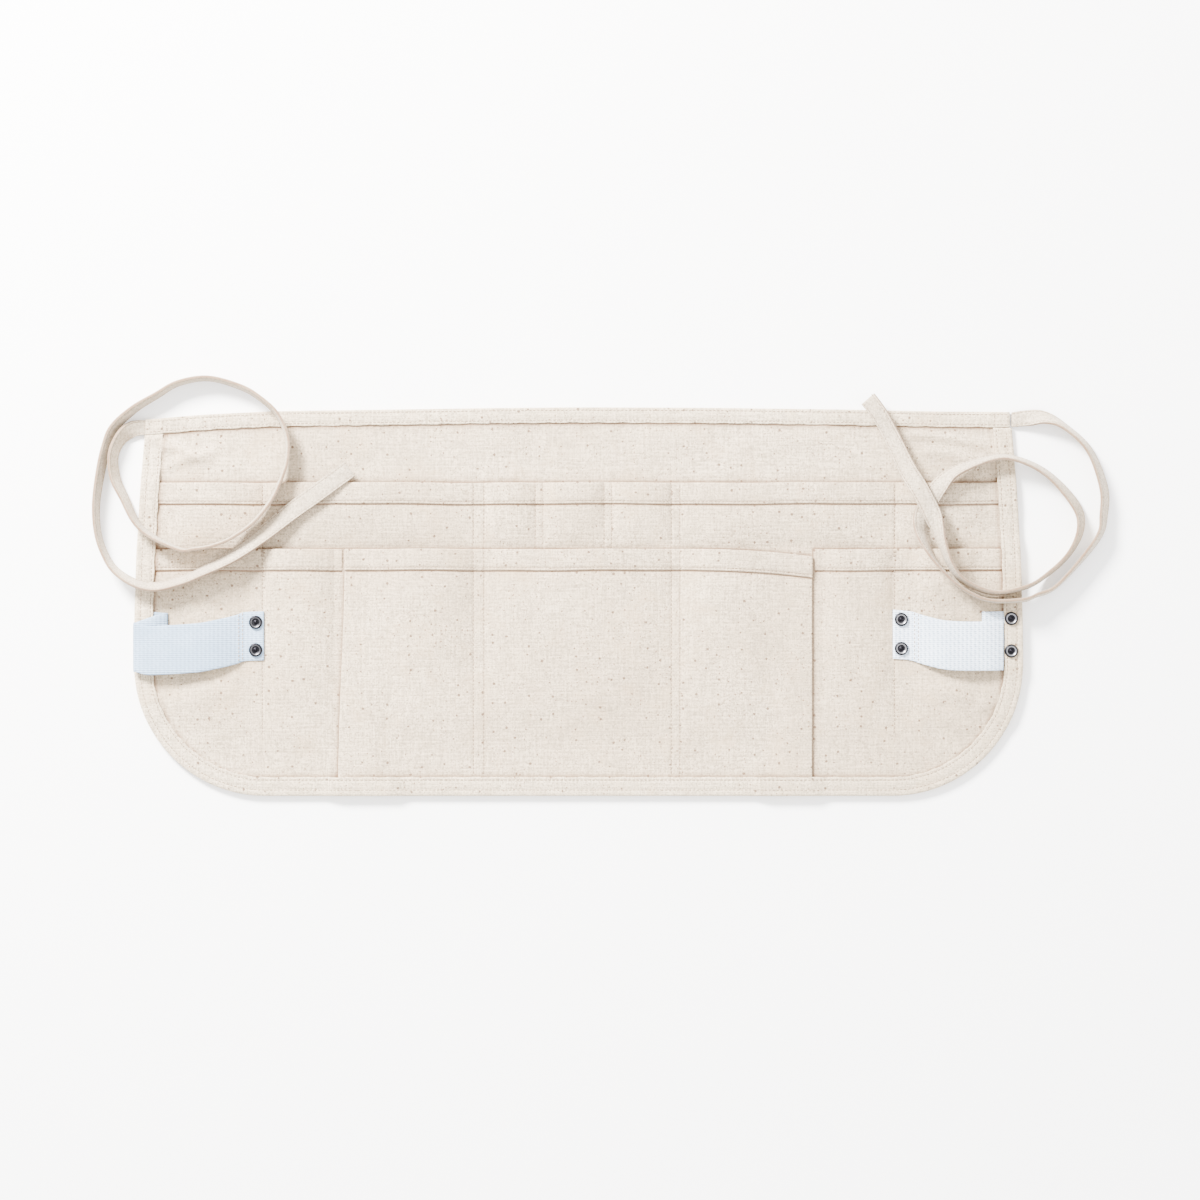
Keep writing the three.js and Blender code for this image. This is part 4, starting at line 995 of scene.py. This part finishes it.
def rim_path():
    """Places on the rim from the left side's top, round by the bottom: x, y, the way inwards in x and y,
    then the x and y whose layers are covered there and whether it is at a side.
    """
    right = []
    arc = CORNER_RADIUS * math.pi / 2
    for k in range(int(arc / PATH_STEP) + 1):
        a = math.pi / 2 * (1 - k * PATH_STEP / arc)
        c, s = math.cos(a), math.sin(a)
        inner_y = CORNER_Y - (CORNER_RADIUS - BINDING) * s
        right.append((CORNER_X + CORNER_RADIUS * c, CORNER_Y - CORNER_RADIUS * s, -c, s, 0, inner_y, True))
    for y in np.arange(CORNER_Y + 0.5, under_waistband(RIM_END_X) - 2.0, PATH_STEP):
        right.append((float(half_width(y)), y, -1, 0, 0, y, True))
    bottom = []
    for x in np.arange(-CORNER_X + PATH_STEP, CORNER_X - 0.5, PATH_STEP):
        bottom.append((x, -HALF_HEIGHT, 0, 1, x, BINDING - HALF_HEIGHT, False))
    left = [(-p[0], p[1], -p[2], *p[3:]) for p in reversed(right)]
    left_end = under_waistband(-RIM_END_X) - 2.0
    return [p for p in left + bottom + right if p[0] > 0 or p[1] < left_end]


def rim_fronts(path):
    """The front layer's height along the rim: the highest a few steps around, then averaged."""
    raw = np.array([rim_front(*p[4:]) for p in path])
    padded = np.pad(raw, SPREAD, mode="edge")
    highest = np.max([padded[k : k + len(raw)] for k in range(2 * SPREAD + 1)], axis=0)
    padded = np.pad(highest, 3, mode="edge")
    return np.mean([padded[k : k + len(raw)] for k in range(7)], axis=0)


def rim_end_station(end):
    outer = float(half_width(under_waistband(end * (HALF_WIDTH - SIDE_FLARE))))
    section = folded_tape(BINDING, UPPER_LOW, BINDING_ROWS)
    return [(end * (outer - d), under_waistband(end * (outer - d)), z) for d, z in section]


def make_binding():
    """The binding and the paths of its rows of stitches."""
    path = rim_path()
    stations = [rim_end_station(-1)]
    sewn_lines = {row: [] for row in BINDING_ROWS}
    for k, (p, front) in enumerate(zip(path, rim_fronts(path))):
        x, y, in_x, in_y = p[:4]
        s = k * PATH_STEP
        lift = 0.1 * math.sin(s * 1.9) + 0.08 * math.sin(s * 0.83 + 1)
        edge = 0.28 * math.sin(s * 0.37) + 0.14 * math.sin(s * 1.3 + 2)
        section = folded_tape(BINDING, front, BINDING_ROWS, lift, edge)
        stations.append([(x + in_x * d, y + in_y * d, z) for d, z in section])
        for row in BINDING_ROWS:
            sewn_lines[row].append((x + in_x * row, y + in_y * row, front + TAPE_STITCH_UP))
    stations.append(rim_end_station(1))
    return sweep("look_edge_binding", stations, trim), list(sewn_lines.values())


def make_waistband():
    stations = []
    for x in grid(-WAISTBAND_END, WAISTBAND_END, 2.0):
        lift = 0.1 * math.sin(x * 1.7) + 0.08 * math.sin(x * 0.71)
        edge = 0.25 * math.sin(x * 0.31) + 0.12 * math.sin(x * 1.1)
        section = folded_tape(WAISTBAND, UPPER_LOW, WAIST_ROWS, lift, min(edge, 0.2))
        top = float(waist_top(x))
        stations.append([(x, top - d, z) for d, z in section])
    return sweep("look_waistband", stations, trim)


binding, binding_lines = make_binding()
waist = make_waistband()

# Webbing loops: each strip's line is x, z and slip, from its seam end out to a fold, in again and out
lowest = WEBBING_LOW + WEBBING / 2
second = lowest + WEBBING_PITCH
binding_inner_x = float(half_width(LOOP_Y)) - BINDING
webbing_end = float(half_width(LOOP_Y)) - CLOTH - 2
turn_reach = WEBBING_PITCH / 2 + WEBBING / 2
loop_start = SEAM_X - 1.5
RIGHT_SLACK = [
    (0, 0, -0.1), (0.16, 0, 0.05), (0.24, 0.2, 0.3), (0.35, 0.6, 0.62), (0.48, 0.93, 0.9),
    (0.66, 1, 1), (0.84, 0.9, 1), (0.95, 0.62, 1),
]  # fmt: skip
LEFT_SLACK = [
    (0, 0, 0.05), (0.146, 0, 0.12), (0.205, 0.2, 0.35), (0.28, 0.5, 0.6), (0.375, 0.83, 0.85),
    (0.48, 0.98, 1.1), (0.615, 1.04, 1.25), (0.76, 1, 1.35), (0.9, 0.9, 1.4),
]  # fmt: skip


def turn(x, outwards, from_z, to_z, slip):
    """Half a circle from one height to another."""
    r = abs(to_z - from_z) / 2
    out = []
    for k in range(5):
        a = math.pi * k / 4
        z = (from_z + to_z) / 2 + (from_z - to_z) / 2 * math.cos(a)
        out.append((x + outwards * r * math.sin(a), z, slip))
    return out


def slack(table, start, end):
    """A table of shares of the way out, of LOOP_RISE and of LOOP_SLIP, as a strip's line."""
    return [(start + (end - start) * out, lowest + up * LOOP_RISE, slip) for out, up, slip in table]


right_turn = binding_inner_x - 0.6 - turn_reach
right_line = slack(RIGHT_SLACK, loop_start, right_turn)
right_line += turn(right_turn, 1, second + WEBBING_PITCH, second, 0.95)
right_line += turn(right_turn - RIGHT_TUCK + turn_reach, -1, second, lowest, 0.1)
right_line += [(webbing_end, lowest, 0)]
over_heads = RIM_WEBBING_LOW + PITCH + RIVET_HEAD_HEIGHT + GAP + WEBBING / 2
left_turn = HALF_WIDTH - turn_reach
left_line = slack(LEFT_SLACK, loop_start, left_turn)
left_line += turn(left_turn, 1, over_heads + WEBBING_PITCH, over_heads, 1.1)
left_line += [(HALF_WIDTH - RIVET_FROM_EDGE - RIVET_HEAD_R - 1, over_heads, 0.5)]
left_line += turn(left_turn - LEFT_TUCK, -1, second, lowest, 0.2)
left_line += [(webbing_end, lowest, 0)]


LOOP_STEPS = 4


def make_loop(word, side, points, sewn_at):
    path = spline(points, LOOP_STEPS)
    along = unit(np.gradient(path[:, :2], axis=0))
    normal = np.stack([-along[:, 1], along[:, 0]], -1)
    half = WEBBING_WIDTH / 2
    across = np.array([-1, -0.985, -0.95, -0.9] + list(np.linspace(-0.8, 0.8, 17)) + [0.9, 0.95, 0.985, 1])
    full = np.clip(1 - np.abs(across) ** 26 * 0.75, 0.25, 1)
    low, high = [], []
    for v, f in zip(across, full):
        y = LOOP_Y - path[:, 2] * LOOP_SLIP + v * half
        for lines, h in ((low, -WEBBING / 2 * f), (high, WEBBING / 2 * f)):
            edge = path[:, :2] + normal * h
            lines.append(surface(side * edge[:, 0], y, edge[:, 1]))
    # The left loop gets the painted-shade copy of the webbing
    material = webbing_shaded if word == "left" else webbing
    strip = slab("look_hammer_loop_" + word, np.stack(low), np.stack(high), material)
    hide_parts("hammer_loop_" + word)
    front_part = path[: (len(RIGHT_SLACK) - 1) * LOOP_STEPS]
    rows = []
    for x in sewn_at:
        z = float(np.interp(x, front_part[:, 0], front_part[:, 1])) + WEBBING / 2
        slip = float(np.interp(x, front_part[:, 0], front_part[:, 2]))
        y = LOOP_Y - slip * LOOP_SLIP + np.linspace(-0.95, 0.95, 12) * half
        rows.append(surface(np.full_like(y, side * x), y, np.full_like(y, z - 0.02)))
    sewn = stitches("look_hammer_loop_" + word + "_stitches", rows)


make_loop("left", -1, left_line, (268.6, 271.6))
make_loop("right", 1, right_line, (268.8, 271.8))

# Rivets: a flat tail, a post and a rolled head, whose table holds shares of its radius and height
HEAD_PROFILE = [
    (1, 0), (1.01, 0.14), (1, 0.4), (0.96, 0.72), (0.87, 0.96), (0.78, 1), (0.68, 0.93), (0.6, 0.78),
    (0.545, 0.5), (0.5, 0.36), (0.4, 0.34), (0.27, 0.36), (0.22, 0.5), (0.19, 0.72), (0.13, 0.82),
    (0.05, 0.85),
]  # fmt: skip
RIVET_SIDES = 40


def make_rivet(name, x, y, inner):
    """The outer tails stand just proud of the binding's back; each head has a painted reflection as a
    bright ring, dimmer on the left rivets.
    """
    low = WEBBING_LOW + WEBBING_PITCH if inner else RIM_WEBBING_LOW + PITCH
    tail = 0.1 if inner else -0.03
    wide = RIVET_TAIL_R
    profile = [(0.3, tail), (wide - 0.2, tail), (wide, tail + 0.15), (wide, 0.85), (wide - 0.2, 1.0)]
    profile += [(RIVET_POST_R, 1.0), (RIVET_POST_R, low)]
    profile += [(r * RIVET_HEAD_R, low + up * RIVET_HEAD_HEIGHT) for r, up in HEAD_PROFILE]
    angles = np.arange(RIVET_SIDES) * 2 * np.pi / RIVET_SIDES
    stations = [[(x + r * math.cos(a), y + r * math.sin(a), z) for a in angles] for r, z in profile]
    # Painted reflection: a bright ring on the head, dimmer on the left rivets
    ring_brightness = 0.35 if x < 0 else 1
    shade = []
    for r, z in profile:
        off_ring = abs(r / RIVET_HEAD_R - 0.6) - 0.05
        shade.append(ring_brightness - ring_brightness * smooth(off_ring / 0.15) if z > low + 0.9 else 0)
    made = sweep("look_" + name, stations, nickel, np.repeat(shade, RIVET_SIDES))
    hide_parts(name)


# Each pair's name, side, place, share of the full spacing and slip with the webbing
for word, side, inner, spacing, slip in (
    ("inner_left", -1, True, 0.92, 0.08),
    ("inner_right", 1, True, 0.97, -0.12),
    ("outer_left", -1, False, 0.9, 0.5),
    ("outer_right", 1, False, 1.08, -0.05),
):
    for place, sign in (("upper", 0.5), ("lower", -0.5)):
        make_rivet(
            f"rivet_{word}_{place}",
            side * (SEAM_X + RIVET_FROM_SEAM if inner else HALF_WIDTH - RIVET_FROM_EDGE),
            LOOP_Y - slip * LOOP_SLIP + sign * spacing * RIVET_SPACING,
            inner,
        )


# Stitching. A seam's rows are sunk in the cloth, and a hem's lie on it.
SUNK = 0.25
HEM_ROW_END = 338
WAIST_ROW_END = 344
WAIST_TACKS = (-343.6, -333, 333, 343.6)


def sunk(low, mouth):
    return lambda x, y: low(x, y) + hem_thickness(mouth(x) - y) - SUNK


upper_top = sunk(upper_low, upper_mouth)
side_top = sunk(side_low, side_mouth)
nail_top = sunk(nail_low, nail_mouth)


def waist_front(x, y):
    return 0 * x + UPPER_LOW + TAPE_STITCH_UP


def lifted(top):
    return lambda x, y: top(x, y) + SUNK


def hem_row(mouth, drop, start, end, top):
    return line(lambda x: mouth(x) - HEM_ROW - drop, start, end, lifted(top))


sewn_seams = sorted(set(seam_rows))
rows = [line(x, UPPER_MOUTH - 2, LOWER_MOUTH + 2.5, upper_top) for x in sewn_seams]
rows.append(hem_row(upper_mouth, 0, -HEM_ROW_END, HEM_ROW_END, upper_top))
upper_sewn = stitches("look_upper_stitches", rows)

rows = [line(x, LOWER_MOUTH - 2, -HALF_HEIGHT + BINDING + 1, nail_top) for x in nail_rows]
rows.append(hem_row(nail_mouth, 0.3, 4 - FOLD_X, FOLD_X - 4, nail_top))
nail_sewn = stitches("look_nail_stitches", rows)

for side, word in HANDS:
    rows = [line(side * SEAM_X, LOWER_MOUTH - 1, LOWER_FLOOR + 4.8, side_top)]
    hem = hem_row(side_mouth, 0, FOLD_X + 5, HEM_ROW_END, side_top)
    hem[:, 0] *= side
    hem[:, 2] = lifted(side_top)(hem[:, 0], hem[:, 1])
    rows.append(hem)
    for k in range(3):
        x = side * (SEAM_X - 0.9 + 0.9 * k)
        rows.append(line(x, LOWER_MOUTH - 0.8, LOWER_MOUTH - 7, lifted(side_top)))
    stitches("look_side_stitches_" + word, rows)

binding_sewn = stitches("look_binding_stitches", binding_lines)

rows = []
for depth in WAIST_ROWS:
    rows.append(line(lambda x: waist_top(x) - depth, -WAIST_ROW_END, WAIST_ROW_END, waist_front))
for x in WAIST_TACKS:
    top = float(waist_top(x))
    rows.append(line(x, top - WAIST_ROWS[1], top - WAIST_ROWS[0], lifted(waist_front), step=1.0))
waist_sewn = stitches("look_waistband_stitches", rows)

rows = [line(x, UPPER_MOUTH, -HALF_HEIGHT + 16, back_low) for x in sewn_seams]
rows = [np.hstack([row, np.tile([0.0, 0.0, -1.0], (len(row), 1))]) for row in rows]
back_sewn = stitches("look_back_stitches", rows)

# Hide the CAD part that each piece stands in for
for made, node in (
    (back, "back_panel"),
    (upper, "upper_pocket_panel"),
    (sides["left"], "side_pocket_left"),
    (sides["right"], "side_pocket_right"),
    (nail, "nail_pocket"),
    (binding, "edge_binding"),
    (waist, "waistband"),
):
    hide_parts(node)


# The table and the light
def table_material():
    g = Graph("table")
    grain = g.noise(3, 2)
    return g.finish({
        "Base Color": g.blend(g.ramp(grain, 0.2, 0.8), (0.97, 0.97, 0.97), (0.955, 0.955, 0.955)),
        "Roughness": g.plus(0.7, g.times(grain, 0.1)),
        "Specular IOR Level": 0.1,
    })


TABLE_REACH = 6.0
corners = [(x * TABLE_REACH, y * TABLE_REACH, 0) for x, y in ((-1, -1), (1, -1), (1, 1), (-1, 1))]
table_mesh = bpy.data.meshes.new("table")
table_mesh.from_pydata(corners, [], [(0, 1, 2, 3)])
table_mesh.materials.append(table_material())
table = add("table", table_mesh)
table.location = (0, 0, -0.0006)

world = bpy.data.worlds.new("studio")
world.use_nodes = True
sky = world.node_tree.nodes["Background"].inputs
sky["Color"].default_value = (1, 1, 1, 1)
sky["Strength"].default_value = 3.65
bpy.context.scene.world = world


def softbox(name, place, size, power, colour=(1, 1, 1)):
    data = bpy.data.lights.new(name, "AREA")
    data.shape = "RECTANGLE"
    data.size, data.size_y = size
    data.energy = power
    data.color = colour
    light = add(name, data)
    light.location = place
    light.rotation_euler = (-Vector(place)).to_track_quat("-Z", "Y").to_euler()
    return light


key = softbox("key", (-1.3, 1.7, 1.5), (0.7, 0.7), 740, (1.0, 0.985, 0.96))
fill = softbox("fill", (1.8, -0.8, 1.6), (1.4, 1.4), 22)
